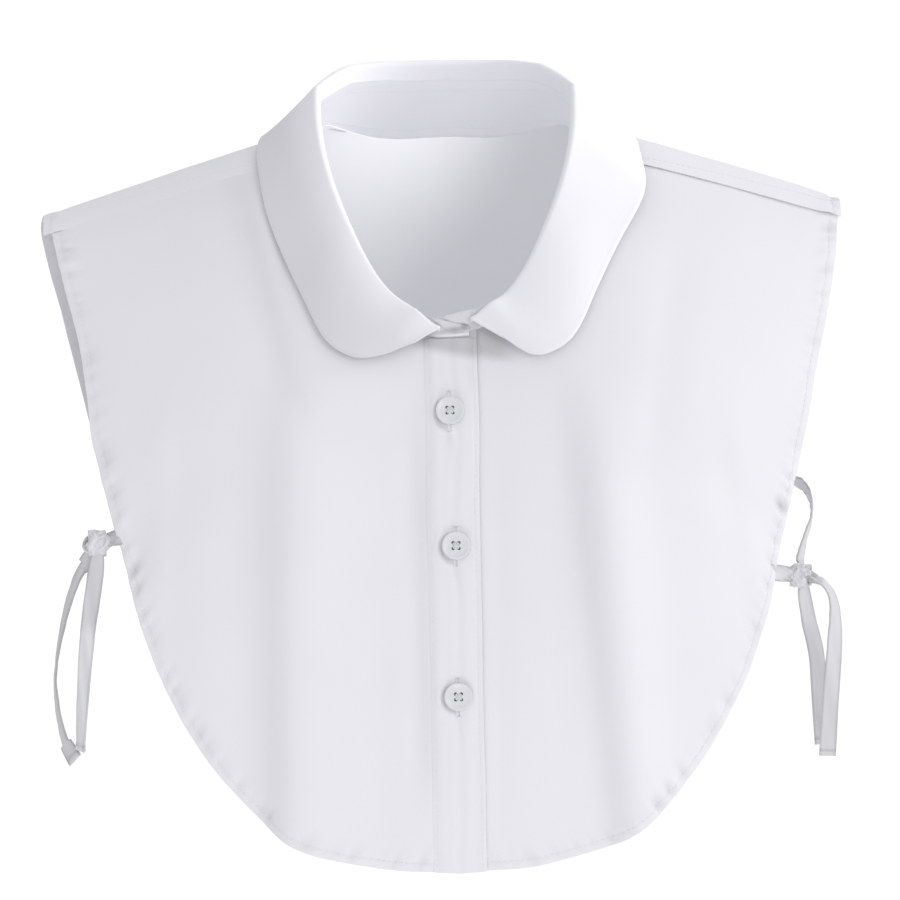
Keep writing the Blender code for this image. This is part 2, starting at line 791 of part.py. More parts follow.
def edge_place(side, z, behind):
    """Place on the armhole edge at a height, and the direction that leads off the cloth."""
    half = smooth_row([(-height, width) for width, height in OUTLINE], -z)[0]
    x = outline_x(side, half, z, behind)
    folds = BACK_FOLDS if behind else FRONT_FOLDS
    here = panel_point(x, turn_at_height(x, z, behind), folds, lambda x: 0.0)
    inside = panel_point(x - side * 0.004, turn_at_height(x - side * 0.004, z, behind), folds, lambda x: 0.0)
    return here, (here - inside).normalized()


def smooth_path(places, steps):
    """A smooth curve through hand-set places (x, y, z, degrees), read at even steps."""
    rows = [(0.0, *places[0])]
    for a, b in zip(places, places[1:]):
        rows.append((rows[-1][0] + math.dist(a[:3], b[:3]), *b))
    return [smooth_row(rows, rows[-1][0] * i / steps) for i in range(steps + 1)]


def add_tape(name, places, material):
    """Flat tape along a path. Its width turns about the path as the places say."""
    path = smooth_path(places, TIE_STEPS)
    points = [Vector(p[:3]) for p in path]
    grid = [[], [], []]
    for i, place in enumerate(path):
        tangent = (points[min(i + 1, TIE_STEPS)] - points[max(i - 1, 0)]).normalized()
        a = math.radians(place[3])
        face = Vector((math.sin(a) * math.copysign(1.0, place[0]), -math.cos(a), 0.0))
        width = tangent.cross(face).normalized()
        for j, share in enumerate((-0.5, 0.0, 0.5)):
            grid[j].append(points[i] + width * (TAPE_WIDTH * share))
    return add_wall(name, grid, TAPE_CLOTH, material)


def add_knot(name, centre, material):
    """Overhand knot of the two tapes, as one rounded lump."""
    rings = 7
    sides = 12
    vertices = [Vector((0, 0, -1))]
    for i in range(1, rings):
        a = -math.pi / 2 + math.pi * i / rings
        for k in range(sides):
            b = 2 * math.pi * k / sides
            bulge = 1.0 + KNOT_BULGE * math.cos(3 * b) * math.cos(a)
            vertices.append(Vector((math.cos(a) * math.cos(b), math.cos(a) * math.sin(b), math.sin(a))) * bulge)
    vertices.append(Vector((0, 0, 1)))
    faces = [(0, 1 + (k + 1) % sides, 1 + k) for k in range(sides)]
    for i in range(rings - 2):
        for k in range(sides):
            a = 1 + i * sides + k
            b = 1 + i * sides + (k + 1) % sides
            faces.append((a, b, b + sides, a + sides))
    top = len(vertices) - 1
    first = 1 + (rings - 2) * sides
    faces += [(top, first + k, first + (k + 1) % sides) for k in range(sides)]
    placed = [
        Vector((centre[0] + v.x * KNOT_SIZE[0], centre[1] + v.y * KNOT_SIZE[1], centre[2] + v.z * KNOT_SIZE[2]))
        for v in vertices
    ]
    return add_object(name, placed, faces, material)


def beside_knot(knot, place):
    """Point just off the knot's surface, on the line from its middle to a place."""
    towards = (Vector(place[:3]) - Vector(knot)).normalized()
    scaled = Vector(tuple(towards[k] / KNOT_SIZE[k] for k in range(3)))
    sphere = scaled.normalized()
    lobes = math.cos(3 * math.atan2(sphere.y, sphere.x)) * math.hypot(sphere.x, sphere.y)
    return Vector(knot) + towards * ((1.0 + KNOT_BULGE * lobes) / scaled.length + KNOT_GAP)


def side_ties(material):
    for word, side, knot in (("right", -1, RIGHT_KNOT), ("left", 1, LEFT_KNOT)):
        add_knot(f"tie_{word}_knot", knot, material)
        root, out = edge_place(side, knot[2] + 0.004, False)
        start = root + out * ROOT_GAP_FRONT
        stop = beside_knot(knot, start)
        add_tape(f"tie_{word}_root", ((*start, 20), (*((start + stop) / 2), 22), (*stop, 25)), material)
        hem, out = edge_place(side, TIES[f"tie_{word}_strap"][0][2] + 0.002, True)
        sewn = ((*(hem + out * ROOT_GAP_BACK), 60),)
        strap = TIES[f"tie_{word}_strap"]
        end = (*beside_knot(knot, strap[-1]), strap[-1][3])
        add_tape(f"tie_{word}_strap", sewn + strap[:-1] + (end,), material)
        for tail in ("a", "b"):
            places = TIES[f"tie_{word}_tail_{tail}"]
            start = (*beside_knot(knot, places[0]), places[0][3])
            add_tape(f"tie_{word}_tail_{tail}", (start,) + places[1:], material)


def build():
    clear_scene()
    shirting = make_material("shirting", CLOTH_COLOUR, 0.85)
    collar_cloth = make_material("collar_cloth", CLOTH_COLOUR, 0.80)
    tape = make_material("tape", CLOTH_COLOUR, 0.85)
    resin = make_material("button_resin", BUTTON_COLOUR, 0.35)
    front_panel("front_right", -1, over_layer, shirting)
    front_panel("front_left", 1, under_layer, shirting)
    placket(shirting)
    back_panel(shirting)
    collar_stand(collar_cloth)
    collar_leaf(collar_cloth)
    for name, x, z in BUTTONS:
        add_button(name, x, z, resin, resin)
    side_ties(tape)


build()
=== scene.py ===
# %% [markdown]
# A detachable shirt collar in white cotton, shown hollow as it is worn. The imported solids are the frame:
# each visible piece below is laid on its solid's form and takes its place.

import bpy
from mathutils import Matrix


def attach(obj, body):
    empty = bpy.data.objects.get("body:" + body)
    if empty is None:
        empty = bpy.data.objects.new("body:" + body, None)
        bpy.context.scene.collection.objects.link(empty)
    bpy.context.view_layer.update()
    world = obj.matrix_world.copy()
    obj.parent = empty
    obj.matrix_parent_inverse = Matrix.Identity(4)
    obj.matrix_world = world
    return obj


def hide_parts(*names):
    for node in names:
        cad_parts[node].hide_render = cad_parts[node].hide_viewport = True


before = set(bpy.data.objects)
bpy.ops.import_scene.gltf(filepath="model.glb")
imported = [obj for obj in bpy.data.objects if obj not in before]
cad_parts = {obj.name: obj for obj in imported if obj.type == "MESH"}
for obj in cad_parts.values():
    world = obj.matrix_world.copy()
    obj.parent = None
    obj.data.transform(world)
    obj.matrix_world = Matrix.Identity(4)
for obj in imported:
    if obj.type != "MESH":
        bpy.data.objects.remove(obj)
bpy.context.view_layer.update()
print("nodes in the frame:", sorted(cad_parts))

# %% [markdown]
# A few curves do most of the shaping: a soft step, a bell, a smooth read of a short table, and an
# uneven wave for what is never regular in sewn cloth.

# %% Imports and a few small tools
import math

import bmesh
import bpy
import numpy as np
from mathutils import Matrix, Vector, noise


def smoothstep(low, high, value):
    share = min(max((value - low) / (high - low), 0.0), 1.0)
    return share * share * (3.0 - 2.0 * share)


def smooth_row(rows, key):
    """Read a table at any value of its first column, on a smooth curve through its rows."""
    last = len(rows) - 1
    key = min(max(key, rows[0][0]), rows[last][0])
    i = 0
    while i < last - 1 and key > rows[i + 1][0]:
        i += 1
    start, a, b, end = rows[max(i - 1, 0)], rows[i], rows[i + 1], rows[min(i + 2, last)]
    span = b[0] - a[0]
    t = (key - a[0]) / span
    values = []
    for k in range(1, len(a)):
        slope_a = (b[k] - start[k]) / (b[0] - start[0]) * span
        slope_b = (end[k] - a[k]) / (end[0] - a[0]) * span
        values.append(
            (2 * t**3 - 3 * t**2 + 1) * a[k]
            + (t**3 - 2 * t**2 + t) * slope_a
            + (3 * t**2 - 2 * t**3) * b[k]
            + (t**3 - t**2) * slope_b
        )
    return values


def bell(value, spread):
    """1 at zero, falling off softly to both sides."""
    return math.exp(-((value / spread) ** 2))


def uneven(value, seed):
    """A slow uneven wave between about -1 and 1, for puckers and creases."""
    return 1.6 * noise.noise(Vector((value, 7.3 * seed, 1.7 * seed)))


# %% [markdown]
# The camera comes first, because every later step is judged through it. The piece is seen straight
# from the front and a little from above, through a long lens, and it leans by one degree.

# %% Camera
CAMERA_DISTANCE = 6.0
CAMERA_HEIGHT_ANGLE = math.radians(10)
CAMERA_LEAN = math.radians(1.1)
VIEW_WIDTH = 0.405
SENSOR_WIDTH = 36
LOOK_AT = Vector((-0.0009, -0.06, -0.131))

backwards = Vector((0, -math.cos(CAMERA_HEIGHT_ANGLE), math.sin(CAMERA_HEIGHT_ANGLE)))
upwards = backwards.cross(Vector((1, 0, 0)))
lean_right = math.cos(CAMERA_LEAN) * Vector((1, 0, 0)) - math.sin(CAMERA_LEAN) * upwards
lean_up = math.sin(CAMERA_LEAN) * Vector((1, 0, 0)) + math.cos(CAMERA_LEAN) * upwards
camera_data = bpy.data.cameras.new("camera")
camera_data.sensor_width = SENSOR_WIDTH
camera_data.lens = SENSOR_WIDTH * CAMERA_DISTANCE / VIEW_WIDTH
camera_data.clip_end = 100
camera = bpy.data.objects.new("camera", camera_data)
bpy.context.scene.collection.objects.link(camera)
turned = [[lean_right[k], lean_up[k], backwards[k]] for k in range(3)]
camera.matrix_world = Matrix.Translation(LOOK_AT + backwards * CAMERA_DISTANCE) @ Matrix(turned).to_4x4()
bpy.context.scene.camera = camera
print("lens, mm:", round(camera_data.lens, 1))

# %% [markdown]
# Shirting is a fine plain weave of white cotton. Close up it is a grid of threads a quarter of a
# millimetre apart. From further off only a soft sheen and a little unevenness are left, so the weave
# is a very shallow bump along each piece's own grain, under a broad, faint mottling.

# %% Cloth and button materials
THREADS_PER_METRE = 3600


def new_material(name, colour, roughness):
    material = bpy.data.materials.new(name)
    material.use_nodes = True
    nodes = material.node_tree.nodes
    links = material.node_tree.links
    shader = nodes["Principled BSDF"]
    shader.inputs["Roughness"].default_value = roughness
    shader.inputs["Base Color"].default_value = (*colour, 1.0)
    return material, nodes, links, shader


def add_node(nodes, kind, inputs=(), **settings):
    """Shader node with its settings and the values of its inputs."""
    node = nodes.new("ShaderNode" + kind)
    for setting, value in settings.items():
        setattr(node, setting, value)
    for socket, value in dict(inputs).items():
        node.inputs[socket].default_value = value
    return node


def add_shading(nodes, links, shader):
    """Mix the colour with black by the piece's own painted shade value, which is 0 where none is given."""
    shade = add_node(nodes, "Attribute", attribute_name="shade")
    colour = shader.inputs["Base Color"].default_value
    shaded = add_node(nodes, "Mix", data_type="RGBA")
    shaded.inputs["A"].default_value = colour
    shaded.inputs["B"].default_value = (0.0, 0.0, 0.0, 1.0)
    links.new(shade.outputs["Fac"], shaded.inputs["Factor"])
    links.new(shaded.outputs["Result"], shader.inputs["Base Color"])
    return shaded


def cloth_material(name, colour, weave_depth, mottle, sheen):
    """Plain weave along the piece's UV grid, with slubs and a faint mottling."""
    material, nodes, links, shader = new_material(name, colour, 0.88)
    shader.inputs["Specular IOR Level"].default_value = 0.25
    shader.inputs["Sheen Weight"].default_value = sheen
    shader.inputs["Sheen Roughness"].default_value = 0.45
    shader.inputs["Sheen Tint"].default_value = (1.0, 1.0, 1.0, 1.0)
    place = add_node(nodes, "UVMap", uv_map="grain")
    threads = {"Scale": THREADS_PER_METRE / 20, "Distortion": 1.2, "Detail": 1.0}
    warp = add_node(nodes, "TexWave", threads, wave_type="BANDS", bands_direction="X")
    weft = add_node(nodes, "TexWave", threads, wave_type="BANDS", bands_direction="Y")
    woven = add_node(nodes, "Math", operation="MULTIPLY")
    slub = add_node(nodes, "TexNoise", {"Scale": 900.0, "Detail": 3.0, "Roughness": 0.6})
    total = add_node(nodes, "Math", operation="ADD")
    bump = add_node(nodes, "Bump", {"Strength": weave_depth, "Distance": 0.00005})
    broad = add_node(nodes, "TexNoise", {"Scale": 28.0, "Detail": 4.0})
    tint = add_node(nodes, "Mix", data_type="RGBA")
    tint.inputs["A"].default_value = (*[c * (1.0 - mottle) for c in colour], 1.0)
    tint.inputs["B"].default_value = (*colour, 1.0)
    for texture in (warp, weft, slub, broad):
        links.new(place.outputs["UV"], texture.inputs["Vector"])
    links.new(warp.outputs["Fac"], woven.inputs[0])
    links.new(weft.outputs["Fac"], woven.inputs[1])
    links.new(woven.outputs["Value"], total.inputs[0])
    links.new(slub.outputs["Fac"], total.inputs[1])
    links.new(total.outputs["Value"], bump.inputs["Height"])
    links.new(bump.outputs["Normal"], shader.inputs["Normal"])
    links.new(broad.outputs["Fac"], tint.inputs["Factor"])
    # painted shade darkens the mottled cloth colour
    shaded = add_shading(nodes, links, shader)
    links.new(tint.outputs["Result"], shaded.inputs["A"])
    return material


SHIRTING_COLOUR = (0.86, 0.855, 0.885)
COLLAR_COLOUR = (0.86, 0.852, 0.895)
TAPE_COLOUR = (0.84, 0.835, 0.86)
THREAD_COLOUR = (0.83, 0.83, 0.855)
BUTTON_THREAD_COLOUR = (0.74, 0.74, 0.76)
RESIN_COLOUR = (0.80, 0.80, 0.82)
RESIN_GREY = (0.72, 0.72, 0.74)
shirting = cloth_material("shirting_weave", SHIRTING_COLOUR, 0.14, 0.03, 0.06)
collar_cloth = cloth_material("collar_weave", COLLAR_COLOUR, 0.12, 0.02, 0.05)
tape_cloth = cloth_material("tape_weave", TAPE_COLOUR, 0.20, 0.05, 0.06)
thread, thread_nodes, thread_links, thread_shader = new_material("sewing_thread", THREAD_COLOUR, 0.60)
# the thread reads the same painted shade as the cloth it lies on
add_shading(thread_nodes, thread_links, thread_shader)
thread_shader.inputs["Specular IOR Level"].default_value = 0.35
button_thread, _, _, _ = new_material("button_thread", BUTTON_THREAD_COLOUR, 0.60)

resin, resin_nodes, resin_links, resin_shader = new_material("button_resin_white", RESIN_COLOUR, 0.34)
resin_shader.inputs["Subsurface Weight"].default_value = 0.12
resin_shader.inputs["Subsurface Radius"].default_value = (0.0015, 0.0013, 0.0012)
resin_shader.inputs["Coat Weight"].default_value = 0.15
pearl = add_node(resin_nodes, "TexNoise", {"Scale": 350.0})
pearl_place = add_node(resin_nodes, "TexCoord")
pearl_tint = add_node(resin_nodes, "Mix", data_type="RGBA")
pearl_tint.inputs["A"].default_value = (*RESIN_GREY, 1.0)
pearl_tint.inputs["B"].default_value = (*RESIN_COLOUR, 1.0)
resin_links.new(pearl_place.outputs["Object"], pearl.inputs["Vector"])
resin_links.new(pearl.outputs["Fac"], pearl_tint.inputs["Factor"])
resin_links.new(pearl_tint.outputs["Result"], resin_shader.inputs["Base Color"])
print("materials:", [m.name for m in bpy.data.materials])

# %% [markdown]
# The body of the garment is a general figure: an upright section at every place across, from the foot
# of the front over the shoulder to the foot of the back. These are the sizes of the solids, so the cloth
# lies on them.

# %% Form of the body
CLOTH = 0.0010
COLLAR_CLOTH = 0.0012
SEAM = 0.0003
LAYER = CLOTH + SEAM
RIDGE_Y = 0.006
SHOULDER_SLOPE = 0.32
RIDGE_SOFT = 0.025
RIDGE_LEVEL = 0.0277
FRONT_DEPTH = 0.112
FRONT_REACH = 0.195
BACK_DEPTH = 0.085
BACK_REACH = 0.210
NECK_REACH = 0.060
NECK_DIP = 0.0025
SEAM_TURN = math.radians(9)
TIP_SHIFT = -0.002
TIP_SHIFT_POWER = 6
OUTLINE = (
    # half_width, height
    (0.1802, -0.0300),
    (0.1740, -0.0680),
    (0.1643, -0.1100),
    (0.1545, -0.1530),
    (0.1431, -0.1970),
    (0.1275, -0.2400),
    (0.1045, -0.2750),
    (0.0755, -0.3003),
    (0.0390, -0.3116),
    (0.0000, -0.3144),
)
# On the wearer's right the back reaches past the front at the armhole
EDGE_SHIFT = (
    # below the tip, back outwards, front inwards
    (0.000, 0.0010, 0.0018),
    (0.008, 0.0042, 0.0014),
    (0.030, 0.0043, 0.0033),
    (0.048, 0.0043, 0.0044),
    (0.065, 0.0050, 0.0034),
    (0.082, 0.0056, 0.0018),
    (0.098, 0.0060, 0.0000),
    (0.130, 0.0060, 0.0000),
    (0.200, 0.0040, 0.0000),
    (0.285, 0.0000, 0.0000),
)
LAP = 0.0120


def near_neck(x):
    return bell(x, NECK_REACH)


def ridge_height(x):
    return RIDGE_LEVEL - SHOULDER_SLOPE * math.hypot(x, RIDGE_SOFT) - NECK_DIP * near_neck(x)


def section_sizes(x, behind):
    """Depth, height and squareness of the quarter section at x."""
    if behind:
        flat = 1.0 - (abs(x) / BACK_REACH) ** 2.5
        return BACK_DEPTH * math.sqrt(flat) - RIDGE_Y, 0.200, 2.0 + 0.6 * near_neck(x)
    flat = 1.0 - (abs(x) / FRONT_REACH) ** 2.2
    return FRONT_DEPTH * math.sqrt(flat) + RIDGE_Y, 0.230 + 0.070 * near_neck(x), 1.5 - 0.3 * near_neck(x)


def body_point(x, turn):
    """Point at x, turned from the shoulder ridge: forward for a negative turn, back for a positive one."""
    depth, height, power = section_sizes(x, turn > 0)
    out = math.sin(min(abs(turn), math.pi / 2))
    z = ridge_height(x) - height * (1.0 - math.sqrt(max(1.0 - out**power, 0.0)))
    z -= height * math.sqrt(power / 2) * max(abs(turn) - math.pi / 2, 0.0)
    return Vector((x, RIDGE_Y + math.copysign(depth * out, turn), z))


def turn_at_height(x, z, behind):
    _, height, power = section_sizes(x, behind)
    drop = max(ridge_height(x) - z, 0.0)
    if drop < height:
        turn = math.asin((1.0 - (1.0 - drop / height) ** 2) ** (1.0 / power))
    else:
        turn = math.pi / 2 + (drop - height) / (height * math.sqrt(power / 2))
    return turn if behind else -turn


def turn_at_plan(x, y):
    depth, _, _ = section_sizes(x, y > RIDGE_Y)
    return math.asin(min(max((y - RIDGE_Y) / depth, -1.0), 1.0))


def body_normal(x, turn):
    across = body_point(x + 0.0005, turn) - body_point(x - 0.0005, turn)
    along = body_point(x, turn + 0.004) - body_point(x, turn - 0.004)
    return across.cross(along).normalized()


def body_at_plan(x, y, lift):
    """Point over the plan position, raised so that it clears the body by lift along the normal."""
    turn = turn_at_plan(x, y)
    return Vector((x, y, body_point(x, turn).z + lift / max(body_normal(x, turn).z, 0.3)))


def outline_x(side, half, z, behind):
    tip, tip_z = OUTLINE[0]
    x = side * half + TIP_SHIFT * (half / tip) ** TIP_SHIFT_POWER
    if side < 0:
        outwards, inwards = smooth_row(EDGE_SHIFT, tip_z - z)
        x += -outwards if behind else inwards
    return x


def outline_curve(side, behind, first_turn, count=320):
    """Armhole and foot on one side, from the shoulder seam to the middle of the foot."""
    curve = []
    tip = outline_x(side, *OUTLINE[0], behind)
    if behind:
        for i in range(8):
            curve.append((tip, first_turn * (1.0 - i / 8)))
    rows = [(0.0, *OUTLINE[0])]
    for a, b in zip(OUTLINE, OUTLINE[1:]):
        rows.append((rows[-1][0] + math.hypot(b[0] - a[0], b[1] - a[1]), *b))
    for i in range(count + 1):
        half, z = smooth_row(rows, rows[-1][0] * i / count)
        x = outline_x(side, half, z, behind)
        turn = turn_at_height(x, z, behind)
        if behind or turn < first_turn:
            curve.append((x, turn))
    if not behind:
        curve[0] = (tip, first_turn)
    return curve


NECK_Y = -0.004
NECK_HALF_WIDTH = 0.057
NECK_FRONT = 0.0603
NECK_BACK = 0.054
NECK_SQUARENESS = 2.4


def neck_plan(angle, out=0.0):
    """Point on the neck opening. The angle is 0 in front and positive to the wearer's left."""
    depth = NECK_FRONT if math.cos(angle) > 0 else NECK_BACK
    power = NECK_SQUARENESS
    share = (abs(math.sin(angle)) / NECK_HALF_WIDTH) ** power + (abs(math.cos(angle)) / depth) ** power
    radius = share ** (-1.0 / power) + out
    return radius * math.sin(angle), NECK_Y - radius * math.cos(angle)


def neck_curve(start, end, count=320):
    curve = []
    for i in range(count + 1):
        x, y = neck_plan(start + (end - start) * i / count, -COLLAR_CLOTH / 2)
        curve.append((x, turn_at_plan(x, y)))
    return curve


def spread_evenly(curve, count):
    """Places at even distances along a curve of (x, turn) positions."""
    points = [body_point(x, turn) for x, turn in curve]
    travelled = [0.0]
    for a, b in zip(points, points[1:]):
        travelled.append(travelled[-1] + (b - a).length)
    places = []
    j = 0
    for i in range(count):
        target = travelled[-1] * i / (count - 1)
        while j < len(travelled) - 2 and travelled[j + 1] < target:
            j += 1
        t = (target - travelled[j]) / max(travelled[j + 1] - travelled[j], 1e-12)
        places.append(tuple(a + (b - a) * t for a, b in zip(curve[j], curve[j + 1])))
    return places, travelled[-1]


print("shoulder tip:", [round(v, 4) for v in body_point(OUTLINE[0][0], 0.0)])

# %% [markdown]
# Worn cloth hangs in a few long, soft folds. Each is a line on the panel with a spread to each side, so
# that one flank can be sharper than the other. A trough is negative. The smaller ones after them are the
# creases beside the placket, the pull towards the ties and the drag under the collar.

# %% Folds
FRONT_FOLDS = (
    # x_top, z_top, x_foot, z_foot, spread_right, spread_left, height
    (-0.0690, -0.070, -0.0730, -0.345, 0.0125, 0.021, 0.0072),
    (-0.0960, -0.080, -0.0980, -0.300, 0.012, 0.012, -0.0012),
    (0.0640, -0.080, 0.0805, -0.345, 0.0110, 0.016, 0.0068),
    (0.0420, -0.110, 0.0480, -0.320, 0.012, 0.010, -0.0012),
    (-0.0170, -0.095, -0.0160, -0.270, 0.0060, 0.0050, -0.0020),
    (0.116, -0.135, 0.160, -0.195, 0.012, 0.012, -0.0022),
    (-0.112, -0.120, -0.150, -0.180, 0.014, 0.014, -0.0016),
    (0.0205, -0.110, 0.0185, -0.300, 0.0035, 0.0050, -0.0006),
    (-0.1040, 0.010, -0.0700, -0.110, 0.010, 0.007, -0.0014),
    (-0.0945, 0.030, -0.0700, -0.100, 0.0055, 0.0050, 0.0012),
    (0.104, -0.030, 0.090, -0.130, 0.008, 0.010, -0.0010),
    (-0.034, -0.180, -0.036, -0.330, 0.007, 0.009, -0.0006),
    (0.036, -0.150, 0.040, -0.330, 0.008, 0.006, 0.0006),
    (0.124, -0.100, 0.140, -0.215, 0.006, 0.008, 0.0009),
    (-0.128, -0.090, -0.134, -0.200, 0.008, 0.006, 0.0008),
)
BACK_FOLDS = (
    (-0.092, -0.060, -0.078, -0.340, 0.014, 0.018, -0.0034),
    (-0.034, -0.090, -0.022, -0.340, 0.016, 0.013, 0.0028),
    (0.040, -0.070, 0.034, -0.340, 0.014, 0.018, -0.0030),
    (0.096, -0.060, 0.088, -0.340, 0.018, 0.014, 0.0030),
    (0.000, -0.060, 0.004, -0.300, 0.008, 0.010, -0.0009),
    (-0.120, -0.060, -0.130, -0.220, 0.010, 0.007, 0.0009),
    (0.122, -0.050, 0.134, -0.210, 0.007, 0.010, -0.0009),
    (-0.058, -0.120, -0.050, -0.330, 0.006, 0.009, -0.0007),
    (0.066, -0.130, 0.060, -0.330, 0.008, 0.006, 0.0007),
)


def fold_height(rows, x, z):
    """Height of all folds at a place on a panel."""
    total = 0.0
    for x_top, z_top, x_foot, z_foot, spread_right, spread_left, height in rows:
        length = math.hypot(x_foot - x_top, z_foot - z_top)
        dir_x = (x_foot - x_top) / length
        dir_z = (z_foot - z_top) / length
        along = ((x - x_top) * dir_x + (z - z_top) * dir_z) / length
        across = (x - x_top) * -dir_z + (z - z_top) * dir_x
        spread = spread_right if across < 0 else spread_left
        if abs(across) < 3 * spread:
            fade = smoothstep(0.0, 0.35, along) * (1.0 - smoothstep(0.85, 1.1, along))
            total += height * fade * bell(across, spread)
    return total


def lap_share(x):
    return 1.0 - smoothstep(LAP + 0.003, LAP + 0.022, abs(x))


def panel_point(x, turn, folds, layer):
    """Middle of the cloth of a panel, with its folds, moved out by its layer."""
    point = body_point(x, turn)
    push = layer(x) + fold_height(folds, x, point.z) * smoothstep(0.18, 0.42, abs(turn))
    return point + body_normal(x, turn) * push


# %% [markdown]
# The builder for all sheets. A sheet is a thin closed wall between two grids of points. Its rows stand
# closer together by the edge, so that a hem can have its own thickness, a sunk line of stitches and the
# small puckers that a sewn edge always has.

# %% Sheet builder
SHEET = 0.00046         # a single layer of shirting
HEM = 0.0046            # width of the turned hem
HEM_LIFT = 0.00042      # what the turned layers add on the inside
STITCH_IN = 0.0038      # the stitches run this far from the edge
GROOVE_DEPTH = 0.00018
GROOVE_WIDTH = 0.0009
PUCKER_HEIGHT = 0.00104
PUCKER_LONG = 0.0062
PUCKER_SHORT = 0.0030
EDGE_WAVE = 0.0011
EDGE_WAVE_LONG = 0.032
# most painted shade in the hollows of a hem
MOST_HEM_SHADE = 0.20


def grid_normals(points):
    across = np.gradient(points, axis=0)
    along = np.gradient(points, axis=1)
    normals = np.cross(across, along)
    return normals / np.maximum(np.linalg.norm(normals, axis=2, keepdims=True), 1e-12)


def add_mesh(name, vertices, faces, material, uvs=None, smooth_angle=50):
    mesh = bpy.data.meshes.new(name)
    mesh.from_pydata(np.asarray(vertices).tolist(), [], faces)
    mesh.update()
    if uvs is not None:
        layer = mesh.uv_layers.new(name="grain")
        corner = np.empty(len(mesh.loops), dtype=np.int32)
        mesh.loops.foreach_get("vertex_index", corner)
        layer.data.foreach_set("uv", np.asarray(uvs, dtype=np.float32)[corner].ravel())
    bm = bmesh.new()
    bm.from_mesh(mesh)
    bmesh.ops.recalc_face_normals(bm, faces=bm.faces)
    bm.to_mesh(mesh)
    bm.free()
    mesh.materials.append(material)
    mesh.shade_smooth()
    mesh.set_sharp_from_angle(angle=math.radians(smooth_angle))
    thing = bpy.data.objects.new(name, mesh)
    bpy.context.scene.collection.objects.link(thing)
    return thing


def tube_faces(first, steps, sides):
    """Faces of a closed tube over rings of points, the first of which has this number."""
    faces = []
    for i in range(steps):
        for k in range(sides):
            a, b = first + i * sides + k, first + i * sides + (k + 1) % sides
            faces.append((a, b, b + sides, a + sides))
    faces.append(tuple(first + k for k in reversed(range(sides))))
    faces.append(tuple(first + steps * sides + k for k in range(sides)))
    return faces


def lengths_along(points):
    """Distance of each point of a line from its start."""
    return np.concatenate([[0.0], np.cumsum(np.linalg.norm(np.diff(points, axis=0), axis=1))])


def set_shade(thing, values):
    """Painted shade of each point, which the material reads."""
    thing.data.attributes.new("shade", "FLOAT", "POINT").data.foreach_set("value", values)


def wall_between(name, upper, lower, uvs, material):
    """Closed wall between two matching grids of points."""
    n, m = upper.shape[:2]
    index = np.arange(n * m).reshape(n, m)
    quads = np.stack([index[:-1, :-1], index[1:, :-1], index[1:, 1:], index[:-1, 1:]], axis=-1).reshape(-1, 4)
    border = np.concatenate([index[:, 0], index[-1, 1:], index[-2::-1, -1], index[0, -2:0:-1]])
    after = np.roll(border, -1)
    rim = np.stack([after, border, border + n * m, after + n * m], axis=-1)
    faces = quads.tolist() + (quads[:, ::-1] + n * m).tolist() + rim.tolist()
    vertices = np.concatenate([upper.reshape(-1, 3), lower.reshape(-1, 3)])
    grain = np.concatenate([uvs.reshape(-1, 2)] * 2)
    return add_mesh(name, vertices, faces, material, grain)


def edge_rows(length, inside, hem=0.014, hem_rows=20):
    """Shares from 0 to 1 of a ray of this length, close together by its outer end."""
    rows = [i / inside * (1.0 - hem / length) for i in range(inside)]
    rows += [1.0 - hem / length * (1.0 - i / hem_rows) for i in range(hem_rows)]
    return rows + [1.0 - 0.0003 / length, 1.0]


def edge_profile(away, travelled, seed):
    """Height of the outer face, thickness on the inside, thinning at the very edge, and painted shade in the
    puckers and along the stitch line.
    """
    slant = travelled + 0.35 * away
    pucker = uneven(slant / PUCKER_LONG, seed) + 0.9 * uneven(slant / PUCKER_SHORT, seed + 1)
    strong = 0.60 + 0.55 * uneven(travelled / 0.040, seed + 3)
    near = bell(away - STITCH_IN, 0.0034 if away < STITCH_IN else 0.0048)
    sunk = bell(away - STITCH_IN, GROOVE_WIDTH)
    wave = PUCKER_HEIGHT * pucker * strong * near
    wave += EDGE_WAVE * uneven(travelled / EDGE_WAVE_LONG, seed + 2) * math.exp(-away / 0.010)
    inside = HEM_LIFT * (1.0 - smoothstep(HEM, HEM + 0.0006, away))
    edge = smoothstep(-0.0004, 0.0004, away)
    # painted shade in the hollows of the puckers and along the sunk line of stitches
    hollow = 0.7 * near * strong * max(-pucker, 0.0) + 0.12 * sunk
    return wave - GROOVE_DEPTH * sunk, inside, edge, min(0.18 * hollow, MOST_HEM_SHADE)


